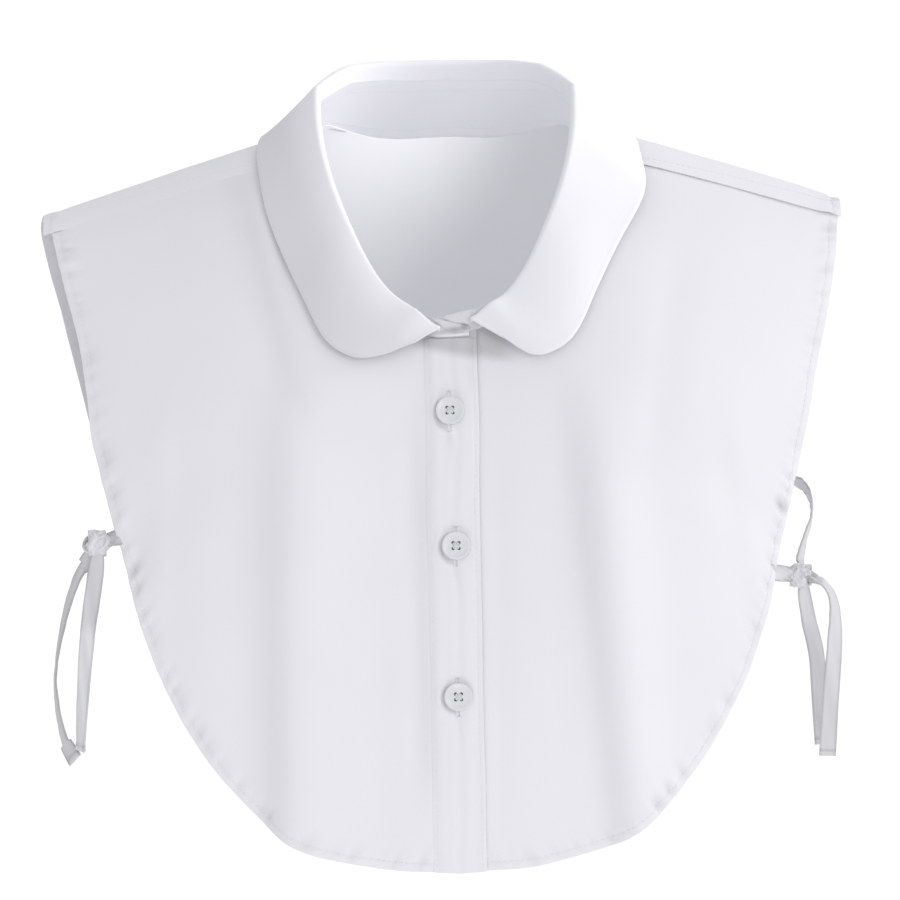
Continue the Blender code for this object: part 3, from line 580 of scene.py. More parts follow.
def make_panel(name, inner, outer, columns, inside_rows, folds, layer, shift, seed, outer_shade, inner_shade):
    """Cloth between two curves, hemmed along the outer one, with painted shade on both its faces."""
    inner, _ = spread_evenly(inner, columns)
    outer, run = spread_evenly(outer, columns)
    count = inside_rows + 22
    middle = np.empty((columns, count, 3))
    lifts = np.empty((columns, count, 3))
    painted_shades = np.empty((2, columns, count))
    for i, ((x0, turn0), (x1, turn1)) in enumerate(zip(inner, outer)):
        samples = [body_point(x0 + (x1 - x0) * k / 10, turn0 + (turn1 - turn0) * k / 10) for k in range(11)]
        length = max(sum((b - a).length for a, b in zip(samples, samples[1:])), 0.02)
        travelled = run * i / (columns - 1)
        for j, t in enumerate(edge_rows(length, inside_rows)):
            x = x0 + (x1 - x0) * t
            turn = turn0 + (turn1 - turn0) * t
            middle[i, j] = panel_point(x, turn, folds, layer)
            lift, inside, edge, hollow = edge_profile((1.0 - t) * length, travelled, seed)
            painted_shades[0, i, j] = hollow + outer_shade(*middle[i, j])
            painted_shades[1, i, j] = hollow + inner_shade(*middle[i, j])
            soft = 0.00035 * noise.noise(Vector((x * 42, middle[i, j, 2] * 30, seed * 3.1)))
            lifts[i, j] = (lift + soft + shift(x, turn), inside, edge)
    normals = grid_normals(middle)
    outwards = np.array(body_normal(*outer[columns // 2]))
    normals *= 1.0 if normals[columns // 2, count // 2] @ outwards > 0 else -1.0
    upper = middle + normals * (lifts[:, :, :1] + SHEET / 2 * lifts[:, :, 2:])
    lower = middle + normals * (lifts[:, :, :1] - (SHEET / 2 + lifts[:, :, 1:2]) * lifts[:, :, 2:])
    grain = np.stack([middle[:, :, 0], middle[:, :, 2] + 0.4 * middle[:, :, 1]], axis=-1)
    cloth = wall_between(name, upper, lower, grain, shirting)
    set_shade(cloth, painted_shades.ravel())
    return cloth, upper, normals


def no_shade(x, y, z):
    return 0.0


STITCH_LONG = 0.0021
STITCH_GAP = 0.0006
STITCH_THICK = 0.00020


def stitch_row(points, normals, long=STITCH_LONG, gap=STITCH_GAP, thick=STITCH_THICK):
    """Vertices and faces of one row of stitches along a line on the cloth."""
    travelled = lengths_along(points)
    vertices, faces = [], []
    start = 0.0
    sides = 5
    while start + long < travelled[-1]:
        along = np.linspace(start, start + long, 5)
        line = np.stack([np.interp(along, travelled, points[:, k]) for k in range(3)], axis=-1)
        out = np.stack([np.interp(along, travelled, normals[:, k]) for k in range(3)], axis=-1)
        direction = line[-1] - line[0]
        direction /= max(np.linalg.norm(direction), 1e-9)
        for j, (point, normal) in enumerate(zip(line, out)):
            side = np.cross(direction, normal)
            side /= max(np.linalg.norm(side), 1e-9)
            share = math.sin(math.pi * (0.12 + 0.76 * j / 4))
            sunk = point + normal * (thick * (share - 0.75))
            for k in range(sides):
                a = 2 * math.pi * k / sides
                radius = thick * (0.55 + 0.45 * share)
                vertices.append(sunk + side * (radius * math.cos(a)) + normal * (radius * math.sin(a)))
        faces += tube_faces(len(vertices) - 5 * sides, 4, sides)
        start += long + gap
    return vertices, faces


def add_stitches(name, rows):
    """One piece from several rows of stitches, each (points, normals)."""
    vertices, faces = [], []
    for points, normals in rows:
        more, its = stitch_row(np.asarray(points), np.asarray(normals))
        faces += [tuple(k + len(vertices) for k in face) for face in its]
        vertices += more
    thing = add_mesh(name, vertices, faces, thread)
    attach(thing, "root")
    return thing


def row_at(grid, normals, lengths_from_edge):
    """Line along a panel's outer face, this far from its outer edge."""
    points, out = [], []
    for i in range(grid.shape[0]):
        column = grid[i, ::-1]
        travelled = lengths_along(column)
        points.append([np.interp(lengths_from_edge, travelled, column[:, k]) for k in range(3)])
        out.append([np.interp(lengths_from_edge, travelled, normals[i, ::-1, k]) for k in range(3)])
    return np.array(points), np.array(out)


# %% [markdown]
# The side ties are narrow tapes, folded and stitched flat. One is sewn to the front hem and one to the
# back hem at each side. They meet in a knot and their tails hang free. Each tape is one piece from its
# hem, through the knot, to its cut end, and the knot's own turns are laid round it.

# %% Ties
TAPE_WIDTH = 0.0076
TAPE_THICK = 0.0009
TAPE_STEPS = 150
TAPE_HEM = 0.0026           # the stitches across a cut end are this far from it
RIGHT_KNOT = Vector((-0.1605, -0.0640, -0.1700))
LEFT_KNOT = Vector((0.1560, -0.0630, -0.1910))
KNOT_SIZE = Vector((0.0062, 0.0052, 0.0060))
TAILS = {
    "right_front": (
        # x, y, z, degrees turned
        (-0.1604, -0.0665, -0.1745, 8),
        (-0.1622, -0.0655, -0.1880, 5),
        (-0.1654, -0.0640, -0.2080, 20),
        (-0.1676, -0.0640, -0.2280, 38),
        (-0.1692, -0.0645, -0.2480, 52),
        (-0.1703, -0.0650, -0.2650, 58),
    ),
    "right_back": (
        (-0.1625, -0.0600, -0.1740, 55),
        (-0.1712, -0.0500, -0.1900, 72),
        (-0.1775, -0.0480, -0.2110, 78),
        (-0.1812, -0.0480, -0.2340, 80),
        (-0.1802, -0.0510, -0.2500, 72),
        (-0.1772, -0.0550, -0.2625, 58),
        (-0.1727, -0.0630, -0.2695, 38),
    ),
    "left_front": (
        (0.1602, -0.0660, -0.1908, 60),
        (0.1666, -0.0690, -0.1940, 72),
        (0.1706, -0.0685, -0.2030, 52),
        (0.1708, -0.0675, -0.2200, 30),
        (0.1694, -0.0665, -0.2380, 14),
        (0.1680, -0.0660, -0.2560, 10),
        (0.1668, -0.0660, -0.2735, 10),
    ),
    "left_back": (
        (0.1568, -0.0610, -0.1950, 42),
        (0.1594, -0.0560, -0.2120, 24),
        (0.1628, -0.0545, -0.2290, 18),
        (0.1640, -0.0545, -0.2460, 20),
        (0.1646, -0.0550, -0.2590, 14),
        (0.1652, -0.0560, -0.2700, 10),
    ),
}
STRAPS = {
    "right_back": (
        (-0.1560, 0.0420, -0.1690, 90),
        (-0.1500, 0.0150, -0.1712, 90),
        (-0.1480, -0.0150, -0.1722, 90),
        (-0.1515, -0.0420, -0.1712, 75),
        (-0.1566, -0.0572, -0.1702, 45),
    ),
    "left_back": (
        (0.1555, 0.0480, -0.1672, 90),
        (0.1605, 0.0330, -0.1674, 90),
        (0.1630, 0.0120, -0.1698, 90),
        (0.1625, -0.0120, -0.1738, 88),
        (0.1592, -0.0340, -0.1790, 66),
        (0.1570, -0.0480, -0.1835, 50),
        (0.1562, -0.0572, -0.1870, 40),
    ),
}


def hem_place(side, z, behind):
    """Place on the armhole edge at a height, a little inside it."""
    half = smooth_row([(-height, width) for width, height in OUTLINE], -z)[0]
    x = outline_x(side, half, z, behind) - side * 0.0025
    folds = BACK_FOLDS if behind else FRONT_FOLDS
    return panel_point(x, turn_at_height(x, z, behind), folds, lambda x: 0.0) - body_normal(
        x, turn_at_height(x, z, behind)
    ) * 0.0012


def tape_path(places, steps):
    rows = [(0.0, *places[0])]
    for a, b in zip(places, places[1:]):
        rows.append((rows[-1][0] + math.dist(a[:3], b[:3]), *b))
    return np.array([smooth_row(rows, rows[-1][0] * i / steps) for i in range(steps + 1)])


def add_tape(name, places, seed, knot):
    """Tape folded to four layers, a little cupped, creased and uneven, drawn in where the knot holds it."""
    path = tape_path(places, TAPE_STEPS)
    # The cut end is followed more closely, so that its stitched fold stays sharp
    close = tape_path(places, 20 * TAPE_STEPS)[-int(TAPE_STEPS * 0.9)::6]
    if close[0, 2] < path[0, 2]:
        path = np.concatenate([path[path[:, 2] > close[0, 2] + 1e-5], close])
    steps = len(path) - 1
    points = path[:, :3]
    tangents = np.gradient(points, axis=0)
    tangents /= np.linalg.norm(tangents, axis=1, keepdims=True)
    travelled = lengths_along(points)
    shares = np.array([-0.5, -0.49, -0.44, -0.36, -0.2, 0.0, 0.2, 0.36, 0.44, 0.49, 0.5])
    upper = np.empty((steps + 1, len(shares), 3))
    lower = np.empty_like(upper)
    painted_shades = np.empty((steps + 1, len(shares)))
    for i in range(steps + 1):
        a = math.radians(path[i, 3] + 9 * uneven(travelled[i] / 0.035, seed))
        outward = np.cross((0.0, -1.0, 0.0), tangents[i])
        outward += np.array([1.0 - np.linalg.norm(outward), 0.0, 0.0])
        if path[i, 0] < 0:
            outward[0] = -outward[0] if abs(tangents[i, 1]) > 0.5 else outward[0]
            outward = outward if abs(tangents[i, 1]) > 0.5 else -outward
        face = outward * math.sin(a) + np.array([0.0, -math.cos(a), 0.0])
        width = np.cross(tangents[i], face)
        width /= np.linalg.norm(width)
        face = np.cross(width, tangents[i])
        face /= np.linalg.norm(face)
        from_knot = np.linalg.norm(points[i] - np.array(knot))
        past_knot = points[i, 2] < knot[2] - 0.002
        held = bell(from_knot, 0.0070) * (1.0 if past_knot else 0.35)
        crumpled = 0.0 if past_knot else bell(from_knot, 0.0095)
        wide = TAPE_WIDTH * (1.0 - 0.45 * held) * (1.0 + 0.03 * uneven(travelled[i] / 0.012, seed + 2))
        cup = 0.0007 * uneven(travelled[i] / 0.028, seed + 1) + 0.0016 * held
        for j, s in enumerate(shares):
            lengthwise = 0.00022 * uneven(travelled[i] / 0.006 + 3 * s, seed + 3)
            lengthwise += 0.0016 * crumpled * uneven(travelled[i] / 0.0045 + 5 * s, seed + 6)
            lengthwise += 0.0007 * crumpled * uneven(travelled[i] / 0.0018 - 9 * s, seed + 7)
            crease = 0.0003 * bell(s - 0.15, 0.1) * uneven(travelled[i] / 0.02, seed + 4)
            centre = points[i] + width * (wide * s) + face * (cup * (1 - 4 * s * s) + lengthwise + crease)
            ridge = 1.0 - 0.35 * bell(abs(s) - 0.36, 0.04)
            thick = TAPE_THICK / 2 * ridge * (1.0 if abs(s) < 0.46 else 0.75 if abs(s) < 0.495 else 0.3)
            to_end = travelled[-1] - travelled[i]
            hemmed = 1.0 + 0.9 * (1.0 - smoothstep(0.0032, 0.0038, to_end))
            hemmed -= 0.5 * bell(to_end - TAPE_HEM, 0.0005)
            thick *= hemmed * (0.45 + 0.55 * smoothstep(0.0, 0.0006, to_end))
            # Painted shade: more on the wearer's right, the side away from the light, and on the rolled
            # edges, with a random uneven share
            grey = (0.20 if points[i, 0] < 0 else 0.13) + 0.20 * smoothstep(0.34, 0.47, abs(s))
            grey += 0.07 * uneven(travelled[i] / 0.015 + 2 * s, seed + 8)
            # less painted shade down the lower tail of the front tape on the wearer's right; more in the
            # crumpled root and at the stitched cut end
            if name == "tie_right_front" and past_knot:
                grey -= 0.15 * smoothstep(0.034, 0.044, from_knot)
            grey += crumpled * (0.16 + 0.30 * uneven(travelled[i] / 0.0028 - 6 * s, seed + 7))
            grey += 0.16 * bell(to_end - TAPE_HEM, 0.0006)
            painted_shades[i, j] = min(max(grey, 0.0), 0.45)
            upper[i, j] = centre + face * thick
            lower[i, j] = centre - face * thick
    grain = np.stack(np.broadcast_arrays(shares[None, :] * TAPE_WIDTH, travelled[:, None]), axis=-1)
    tape = wall_between(name, upper, lower, grain, tape_cloth)
    set_shade(tape, np.concatenate([painted_shades.ravel(), painted_shades.ravel()]))
    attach(tape, "root")
    return tape, points


def knot_turn(centre, tilt, spin, reach, rise, width, seed):
    """One turn of tape round the knot, as a bulging band."""
    steps = 44
    shares = np.linspace(-0.5, 0.5, 9)
    axis = Vector((math.sin(spin) * math.sin(tilt), -math.cos(spin) * math.sin(tilt), math.cos(tilt)))
    first = axis.orthogonal().normalized()
    second = axis.cross(first)
    vertices, painted_shades = [], []
    for i in range(steps):
        a = 2 * math.pi * i / steps
        out = first * math.cos(a) + second * math.sin(a)
        pinch = 1.0 + 0.10 * math.cos(2 * a + seed) + 0.06 * uneven(a * 1.7, seed)
        for side in (1, -1):
            for s in shares:
                bulge = math.sqrt(max(1.0 - (2 * s) ** 2, 0.0))
                crease = 0.00042 * uneven(3.1 * a + 7 * s, seed + 4)
                crease += 0.00030 * uneven(11 * s + 0.7 * a, seed + 5)
                radius = reach * pinch + crease + side * (0.0003 + 0.0004 * bulge)
                shift = axis * (width * s + rise * math.sin(a + seed))
                place = out * radius + shift
                vertices.append(centre + Vector([place[k] * KNOT_SIZE[k] / 0.0058 for k in range(3)]))
                # painted shade in the creases and towards the edges of the band
                painted_shades.append(min(max(0.10 + 0.16 * abs(2 * s) ** 4 - 420 * crease, 0.0), 0.42))
    ring = 2 * len(shares)
    faces = []
    for i in range(steps):
        order = list(range(len(shares))) + list(range(ring - 1, len(shares) - 1, -1))
        here = [i * ring + k for k in order]
        there = [((i + 1) % steps) * ring + k for k in order]
        for k in range(ring):
            faces.append((here[k], there[k], there[(k + 1) % ring], here[(k + 1) % ring]))
    return vertices, faces, painted_shades


def add_knot(name, centre, seed):
    """Overhand knot of two tapes: crossing turns over a rounded middle."""
    vertices, faces, painted_shades = [], [], []
    turns = (
        # tilt, spin, reach, rise, width
        (1.50, 1.45, 0.0047, 0.0005, 0.0076),
        (1.05, 0.70, 0.0049, 0.0009, 0.0042),
        (0.45, 2.30, 0.0042, 0.0008, 0.0046),
    )
    for k, (tilt, spin, reach, rise, width) in enumerate(turns):
        spun = spin * math.copysign(1, centre.x)
        more, its, their_painted_shades = knot_turn(centre, tilt + 0.1 * seed, spun, reach, rise, width, k + seed)
        faces += [tuple(v + len(vertices) for v in face) for face in its]
        vertices += more
        painted_shades += their_painted_shades
    rings, sides = 9, 18
    first = len(vertices)
    for i in range(rings + 1):
        a = -math.pi / 2 + math.pi * (0.04 + 0.92 * i / rings)
        for k in range(sides):
            b = 2 * math.pi * k / sides
            way = Vector((math.cos(a) * math.cos(b), math.cos(a) * math.sin(b), math.sin(a)))
            vertices.append(centre + Vector([way[m] * KNOT_SIZE[m] * 0.66 for m in range(3)]))
    faces += tube_faces(first, rings, sides)
    uvs = [(v[0] + v[1], v[2]) for v in vertices]
    knot = add_mesh(name, [tuple(v) for v in vertices], faces, tape_cloth, uvs)
    # the rounded middle between the turns gets a painted shadow
    set_shade(knot, painted_shades + [0.35] * (len(vertices) - len(painted_shades)))
    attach(knot, "root")
    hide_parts(name)
    return knot


for word, side, knot_centre in (("right", -1, RIGHT_KNOT), ("left", 1, LEFT_KNOT)):
    knot = add_knot(f"tie_{word}_knot", knot_centre, 0.3 if side < 0 else 1.1)
    root = hem_place(side, knot_centre.z + 0.004, False)
    approach = tuple(root + (knot_centre - root) * 0.55)
    front_places = ((*root, 20), (*approach, 24), (*knot_centre, 30)) + TAILS[f"{word}_front"]
    front_tape, front_line = add_tape(f"tie_{word}_front", front_places, 3 + side, knot_centre)
    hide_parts(f"tie_{word}_root", f"tie_{word}_tail_a")
    strap = STRAPS[f"{word}_back"]
    sewn = hem_place(side, strap[0][2] + 0.002, True)
    back_places = ((*sewn, 60),) + strap + ((*knot_centre, 50),) + TAILS[f"{word}_back"]
    back_tape, back_line = add_tape(f"tie_{word}_back", back_places, 9 + side, knot_centre)
    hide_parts(f"tie_{word}_strap", f"tie_{word}_tail_b")

# %% [markdown]
# Under the two collar tips little light reaches the cloth. That soft grey is kept as a shade value on
# the points of the pieces there, which their material reads.

# %% Shade under the collar
# painted shadow under the collar's points
UNDER_COLLAR_SHADOW = 0.30
UNDER_COLLAR = (
    # x, lower end of the shade
    (-0.020, -0.0815),
    (-0.012, -0.0832),
    (0.002, -0.0864),
    (0.012, -0.0880),
    (0.034, -0.0905),
)
# Little light gets into the folds either
FOLD_SHADE = (
    # x_top, z_top, x_foot, z_foot, spread_right, spread_left, painted shade
    (0.0490, -0.070, 0.0740, -0.320, 0.0060, 0.0090, 0.075),
    (-0.0800, -0.070, -0.0800, -0.330, 0.0090, 0.0080, 0.035),
    (-0.1050, 0.020, -0.0660, -0.105, 0.0090, 0.0060, 0.060),
    (-0.0150, -0.085, -0.0145, -0.280, 0.0045, 0.0040, 0.060),
)


def front_shade(x, y, z):
    return max(shade_under_collar(x, z), 0.0) + max(fold_height(FOLD_SHADE, x, z), 0.0)


def shade_under_collar(x, z):
    """Painted shadow below the collar's points, with a soft lower end."""
    low = smooth_row(UNDER_COLLAR, x)[0]
    across = smoothstep(-0.021, -0.012, x) * (1.0 - smoothstep(0.020, 0.034, x))
    return UNDER_COLLAR_SHADOW * across * smoothstep(-0.0018, 0.0036, z - low)


def add_shade(thing, amount):
    set_shade(thing, [amount(*v.co) for v in thing.data.vertices])


# %% [markdown]
# The back is one piece, brought over both shoulders to a seam in front of the ridge. Its edge is folded
# under and stitched on top of the fronts. Round the armholes and the foot it has a narrow turned hem.

# %% Back
FOLDED_UNDER = 0.0030
# painted shade on the inside of the back where it shows at the armhole
ARMHOLE_SHADE = 0.24         # on the inside, where it shows past the front at the wearer's right
BACK_SEAM = -SEAM_TURN - 0.004
TURN_TO_METRES = 0.11       # how far the cloth runs for one radian near the shoulder


def back_shift(x, turn):
    """The seam stands up on the wearer's left and lies flat on the right."""
    if turn >= 0:
        return 0.0
    raised = 0.00030 if x > 0 else -0.00042
    return raised * (1.0 - smoothstep(0.0, FOLDED_UNDER, (turn + SEAM_TURN + 0.004) * TURN_TO_METRES))


neck = [place for place in neck_curve(-math.radians(100), -math.radians(260), 420) if place[1] >= BACK_SEAM]
neck[0] = (neck[0][0], BACK_SEAM)
neck[-1] = (neck[-1][0], BACK_SEAM)
right_edge = outline_curve(-1, True, BACK_SEAM)
left_edge = outline_curve(1, True, BACK_SEAM)
back, back_face, back_normals = make_panel(
    "back_cloth",
    neck,
    right_edge + list(reversed(left_edge))[1:],
    columns=330,
    inside_rows=80,
    folds=BACK_FOLDS,
    layer=lambda x: 0.0,
    shift=back_shift,
    seed=5,
    outer_shade=no_shade,
    inner_shade=lambda x, y, z: (
        ARMHOLE_SHADE * smoothstep(0.135, 0.150, -x) * smoothstep(0.125, 0.160, z + 0.300)
    ),
)
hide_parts("back")
back_rows = [row_at(back_face, back_normals, STITCH_IN)]
for at in (3, -4):
    back_rows.append((back_face[at], back_normals[at]))
back_stitches = add_stitches("back_stitches", back_rows)
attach(back, "root")
print("back:", len(back.data.polygons), "faces")

# %% [markdown]
# The fronts meet the back at the shoulder and lap over each other down the middle, the wearer's right
# one on top. They are cut and hemmed alike.

# %% Fronts
FRONT_SEAM = -SEAM_TURN + 0.010


def front_shift(x, turn):
    """Under the back's folded edge the front lies a little lower."""
    reach = 0.010 if x > 0 else 0.016
    return -0.0005 * (1.0 - smoothstep(0.0, reach, (-turn - SEAM_TURN) * TURN_TO_METRES))


def make_front(name, side, layer, seed):
    edge_x = -side * LAP
    neck = neck_curve(-side * math.radians(30), side * math.radians(100), 420)
    neck = [(x, turn) for x, turn in neck if x * side >= -LAP and turn <= FRONT_SEAM]
    neck[0] = (edge_x, neck[0][1])
    neck[-1] = (neck[-1][0], FRONT_SEAM)
    outer = outline_curve(side, False, FRONT_SEAM)
    other = outline_curve(-side, False, FRONT_SEAM)
    lapped = [(x, turn) for x, turn in reversed(other) if -side * x > 0 and -side * x < LAP]
    outer = outer + lapped + [(edge_x, lapped[-1][1])]
    outer.reverse()
    return make_panel(
        name,
        neck,
        outer,
        columns=230,
        inside_rows=90,
        folds=FRONT_FOLDS,
        layer=layer,
        shift=front_shift,
        seed=seed,
        outer_shade=front_shade,
        inner_shade=no_shade,
    )


for name, side, layer, seed in (
    ("front_right", -1, lambda x: LAYER / 2 * lap_share(x), 11),
    ("front_left", 1, lambda x: -LAYER / 2 * lap_share(x), 17),
):
    front, face, normals = make_front(name + "_cloth", side, layer, seed)
    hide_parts(name)
    front_stitches = add_stitches(name + "_stitches", [row_at(face, normals, STITCH_IN)])
    # the stitches get the same painted shade as the cloth under them
    add_shade(front_stitches, front_shade)
    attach(front, "root")
    print(name, len(front.data.polygons), "faces")

# %% [markdown]
# The placket is a straight band, interlined and edge stitched, that carries the buttonholes. It is the
# front's own surface moved out by one layer. Small creases run between the buttonholes, where the cloth
# is pulled, and a soft dent lies round each button.

# %% Placket
BUTTONS = (
    # name, x, height
    ("button_top", -0.0006, -0.1105),
    ("button_middle", 0.0010, -0.1682),
    ("button_bottom", 0.0008, -0.2342),
)
PLACKET_DROP = 0.0012
PLACKET_COLUMNS = 48
PLACKET_ROWS = 300
PLACKET_STITCH_IN = 0.0018
PLACKET_HALF = 0.0005
PULLS = (
    # lean, spread, height of the creases above and below a button
    (0.0, 0.0012, 0.00035),
    (0.55, 0.0009, 0.00030),
    (-0.6, 0.0010, 0.00026),
)


def front_place(x, z, out):
    """Point on the lapped front, its middle moved out by a distance, and the normal there."""
    turn = turn_at_height(x, z, False)
    normal = body_normal(x, turn)
    push = LAYER / 2 + out + fold_height(FRONT_FOLDS, x, z)
    return body_point(x, turn) + normal * push, normal


def pull(height, across, spread, along, reach, fade):
    """Height of one crease that runs out from a button and fades."""
    if not 0 < along < reach:
        return 0.0
    return height * bell(across, spread) * smoothstep(0.0, 0.002, along) * math.exp(-along / fade)


def placket_crease(x, z):
    """Fine upright creases between the buttonholes, a dent at each button and a ridge beside it."""
    total = 0.00028 * uneven(x / 0.0042 + 0.6 * uneven(z / 0.05, 3), 21)
    total *= 0.4 + 0.6 * abs(uneven(z / 0.03, 4))
    for _, button_x, button_z in BUTTONS:
        away = math.hypot(x - button_x, (z - button_z) * 0.8)
        total -= 0.0005 * bell(away, 0.0075)
        below = button_z - 0.0075 - z
        above = z - button_z - 0.0070
        for lean, spread, height in PULLS:
            total += pull(height, x - button_x - lean * below * 0.45, spread, below, 0.020, 0.006)
            total += pull(0.7 * height, x - button_x + lean * above * 0.4, spread, above, 0.012, 0.004)
        from_rim = math.hypot(x - button_x, z - button_z) - 0.0088
        lower_left = smoothstep(0.2, 0.8, (button_x - x + 0.5 * (button_z - z)) / max(away, 1e-6))
        total += 0.00065 * lower_left * bell(from_rim, 0.0013)
    return total


placket_top = body_at_plan(0.0, NECK_Y - NECK_FRONT - PLACKET_DROP, 0.0).z + 0.0012
placket_face = np.empty((PLACKET_COLUMNS + 1, PLACKET_ROWS, 3))
placket_normals = np.empty_like(placket_face)
edge = np.empty((PLACKET_COLUMNS + 1, 1, 1))
for i in range(PLACKET_COLUMNS + 1):
    share = -math.cos(math.pi * i / PLACKET_COLUMNS) * 0.5 + 0.5
    share = 0.35 * share + 0.65 * i / PLACKET_COLUMNS
    x = -LAP + 2 * LAP * share
    foot = smooth_row([(half, z) for half, z in reversed(OUTLINE)], abs(x))[0]
    to_edge = min(x + LAP, LAP - x)
    sewn_down = 0.86 * (1.0 - smoothstep(0.0, 0.0052, x + LAP))
    sewn_down += 0.80 * (1.0 - smoothstep(0.0, 0.0036, LAP - x))
    for j in range(PLACKET_ROWS):
        z = placket_top + (foot - placket_top) * j / (PLACKET_ROWS - 1)
        along = placket_top - z
        sway = 0.0005 * uneven(z / 0.04, 8) * smoothstep(0.0, 0.02, along)
        point, normal = front_place(x + sway, z, LAYER * (1.0 - sewn_down))
        pucker = 0.00014 * uneven(along / 0.007, 31 if x < 0 else 37) * bell(to_edge - 0.0022, 0.0016)
        groove = -0.00016 * bell(to_edge - PLACKET_STITCH_IN, 0.0006)
        placket_face[i, j] = point + normal * (placket_crease(x, z) + pucker + groove)
        placket_normals[i, j] = normal
    to_side = min(2 * LAP * i / PLACKET_COLUMNS, 2 * LAP * (1 - i / PLACKET_COLUMNS))
    edge[i] = 0.30 + 0.70 * smoothstep(0.0, 0.0016, to_side)
placket_grain = np.stack([placket_face[:, :, 0], placket_face[:, :, 2]], axis=-1)
placket = wall_between(
    "placket_cloth",
    placket_face + placket_normals * (PLACKET_HALF * edge),
    placket_face - placket_normals * (PLACKET_HALF * edge),
    placket_grain,
    shirting,
)


def placket_shade(x, y, z):
    """Painted shade in the creases and in the hollow on the left of each button."""
    total = front_shade(x, y, z) + 0.05 * max(uneven(x / 0.0042 + 0.6 * uneven(z / 0.05, 3), 23), 0.0)
    for _, button_x, button_z in BUTTONS:
        across, up = x - button_x, z - button_z
        away = math.hypot(across, up)
        left = max(-across - 0.3 * up, 0.0) / max(away, 1e-6)
        total += 0.20 * left * bell(away - 0.0068, 0.0011)
        below = -up - 0.0085
        if 0 < below < 0.020:
            total += 0.10 * bell(across - 0.10 * below, 0.0014) * math.exp(-below / 0.007)
    return total


add_shade(placket, placket_shade)
placket_rows_of_stitches = []
columns_x = placket_face[:, PLACKET_ROWS // 2, 0]
for wanted in (PLACKET_STITCH_IN, 2 * LAP - PLACKET_STITCH_IN):
    at = int(np.argmin(np.abs(columns_x - (-LAP + wanted))))
    stitched = placket_face[at] + placket_normals[at] * PLACKET_HALF
    placket_rows_of_stitches.append((stitched, placket_normals[at]))
placket_stitches = add_stitches("placket_stitches", placket_rows_of_stitches)
# the stitches get the same painted shade as the placket under them
add_shade(placket_stitches, placket_shade)
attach(placket, "root")
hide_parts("placket")

# %% [markdown]
# A buttonhole is a slit with dense satin stitches down both sides and a bar at each end. It is 17 mm long
# for a button of 12.6 mm, so both of its ends show.

# %% Buttonholes
def placket_spot(x, z, out):
    point, normal = front_place(x, z, LAYER)
    return point + normal * (placket_crease(x, z) + PLACKET_HALF + out), normal


def add_buttonhole(name, x, z):
    half_long = 0.0086
    half_wide = 0.00085
    count = 150
    vertices, faces = [], []
    for i in range(count):
        a = 2 * math.pi * i / count
        run_x = half_wide * max(min(1.6 * math.cos(a), 1.0), -1.0)
        run_z = (half_long - half_wide) * max(min(1.35 * math.sin(a), 1.0), -1.0) + half_wide * math.sin(a)
        swell = 0.00024 + 0.00008 * (i % 2) + 0.00008 * uneven(i / 9, z * 50)
        for k in range(6):
            b = 2 * math.pi * k / 6
            point, normal = placket_spot(
                x + run_x * (1 + 0.62 * math.cos(b)), z + run_z + 0.0005 * math.cos(b) * math.sin(a) ** 5, 0.0
            )
            vertices.append(point + normal * (swell * (0.35 + math.sin(b))))
    for i in range(count):
        for k in range(6):
            a, b = i * 6 + k, i * 6 + (k + 1) % 6
            c, d = ((i + 1) % count) * 6 + (k + 1) % 6, ((i + 1) % count) * 6 + k
            faces.append((a, b, c, d))
    hole = add_mesh(name, [tuple(v) for v in vertices], faces, thread, smooth_angle=80)
    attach(hole, "root")
    return hole


buttonholes = [add_buttonhole(name + "_hole", x, z - 0.0003) for name, x, z in BUTTONS]
print("placket:", len(placket.data.polygons), "faces")

# %% [markdown]
# The collar has two parts. The stand is the upright band round the neck. Its ends pass each other in
# front. The leaf is sewn to the top of the stand, rolls over it and lies down on the shoulders with
# rounded points. Behind it rolls high, in front it is low. Both are stiffened with interlining, so they
# are smooth and have no folds.

# %% Collar sizes
ROLL = (
    # degrees from the front, height of the fold
    (0, 0.0071),
    (14, 0.0068),
    (24, 0.0064),
    (34, 0.0090),
    (45, 0.0132),
    (59, 0.0156),
    (75, 0.0163),
    (90, 0.0167),
    (105, 0.0164),
    (112, 0.0176),
    (120, 0.0208),
    (127, 0.0248),
    (135, 0.0292),
    (150, 0.0334),
    (165, 0.0338),
    (180, 0.0333),
)
ROLL_TILT = 0.0006
RISE_FRONT = 0.0012
RISE_BACK = 0.0080
FOLD_FRONT = 0.0011
FOLD_BACK = 0.0022
FOOT_GAP = 0.0006
STAND_LAP = math.radians(8)
STAND_LAP_FADE = math.radians(24)
LEAF_END_RIGHT = math.radians(4)
LEAF_END_LEFT = math.radians(8.7)
LEAF_SLIP_FULL = math.radians(6)
LEAF_SLIP_START = math.radians(17)
LEAF_DROP = 0.0046
LEAF_DROP_SPREAD = math.radians(10)
LEAF_SHORT = 0.0022
LEAF_SHORT_FADE = math.radians(20)
LEAF_EDGE = (
    # degrees, edge_x, edge_y, lift
    (4, 0.0156, -0.0702, 0.0040),
    (9, 0.0225, -0.0713, 0.0034),
    (15, 0.0310, -0.0728, 0.0028),
    (24, 0.0438, -0.0738, 0.0024),
    (33, 0.0560, -0.0706, 0.0024),
    (45, 0.0660, -0.0605, 0.0026),
    (58, 0.0750, -0.0480, 0.0028),
    (71, 0.0815, -0.0340, 0.0028),
    (82, 0.0845, -0.0190, 0.0026),
    (92, 0.0855, -0.0040, 0.0026),
    (105, 0.0820, 0.0140, 0.0026),
    (125, 0.0690, 0.0385, 0.0040),
    (150, 0.0400, 0.0545, 0.0050),
    (180, 0.0000, 0.0590, 0.0050),
    (210, -0.0400, 0.0545, 0.0050),
)
LEAF_STAND_OFF = 0.0024
LEAF_STAND_OFF_FULL = math.radians(20)
LEAF_STAND_OFF_FADE = math.radians(52)
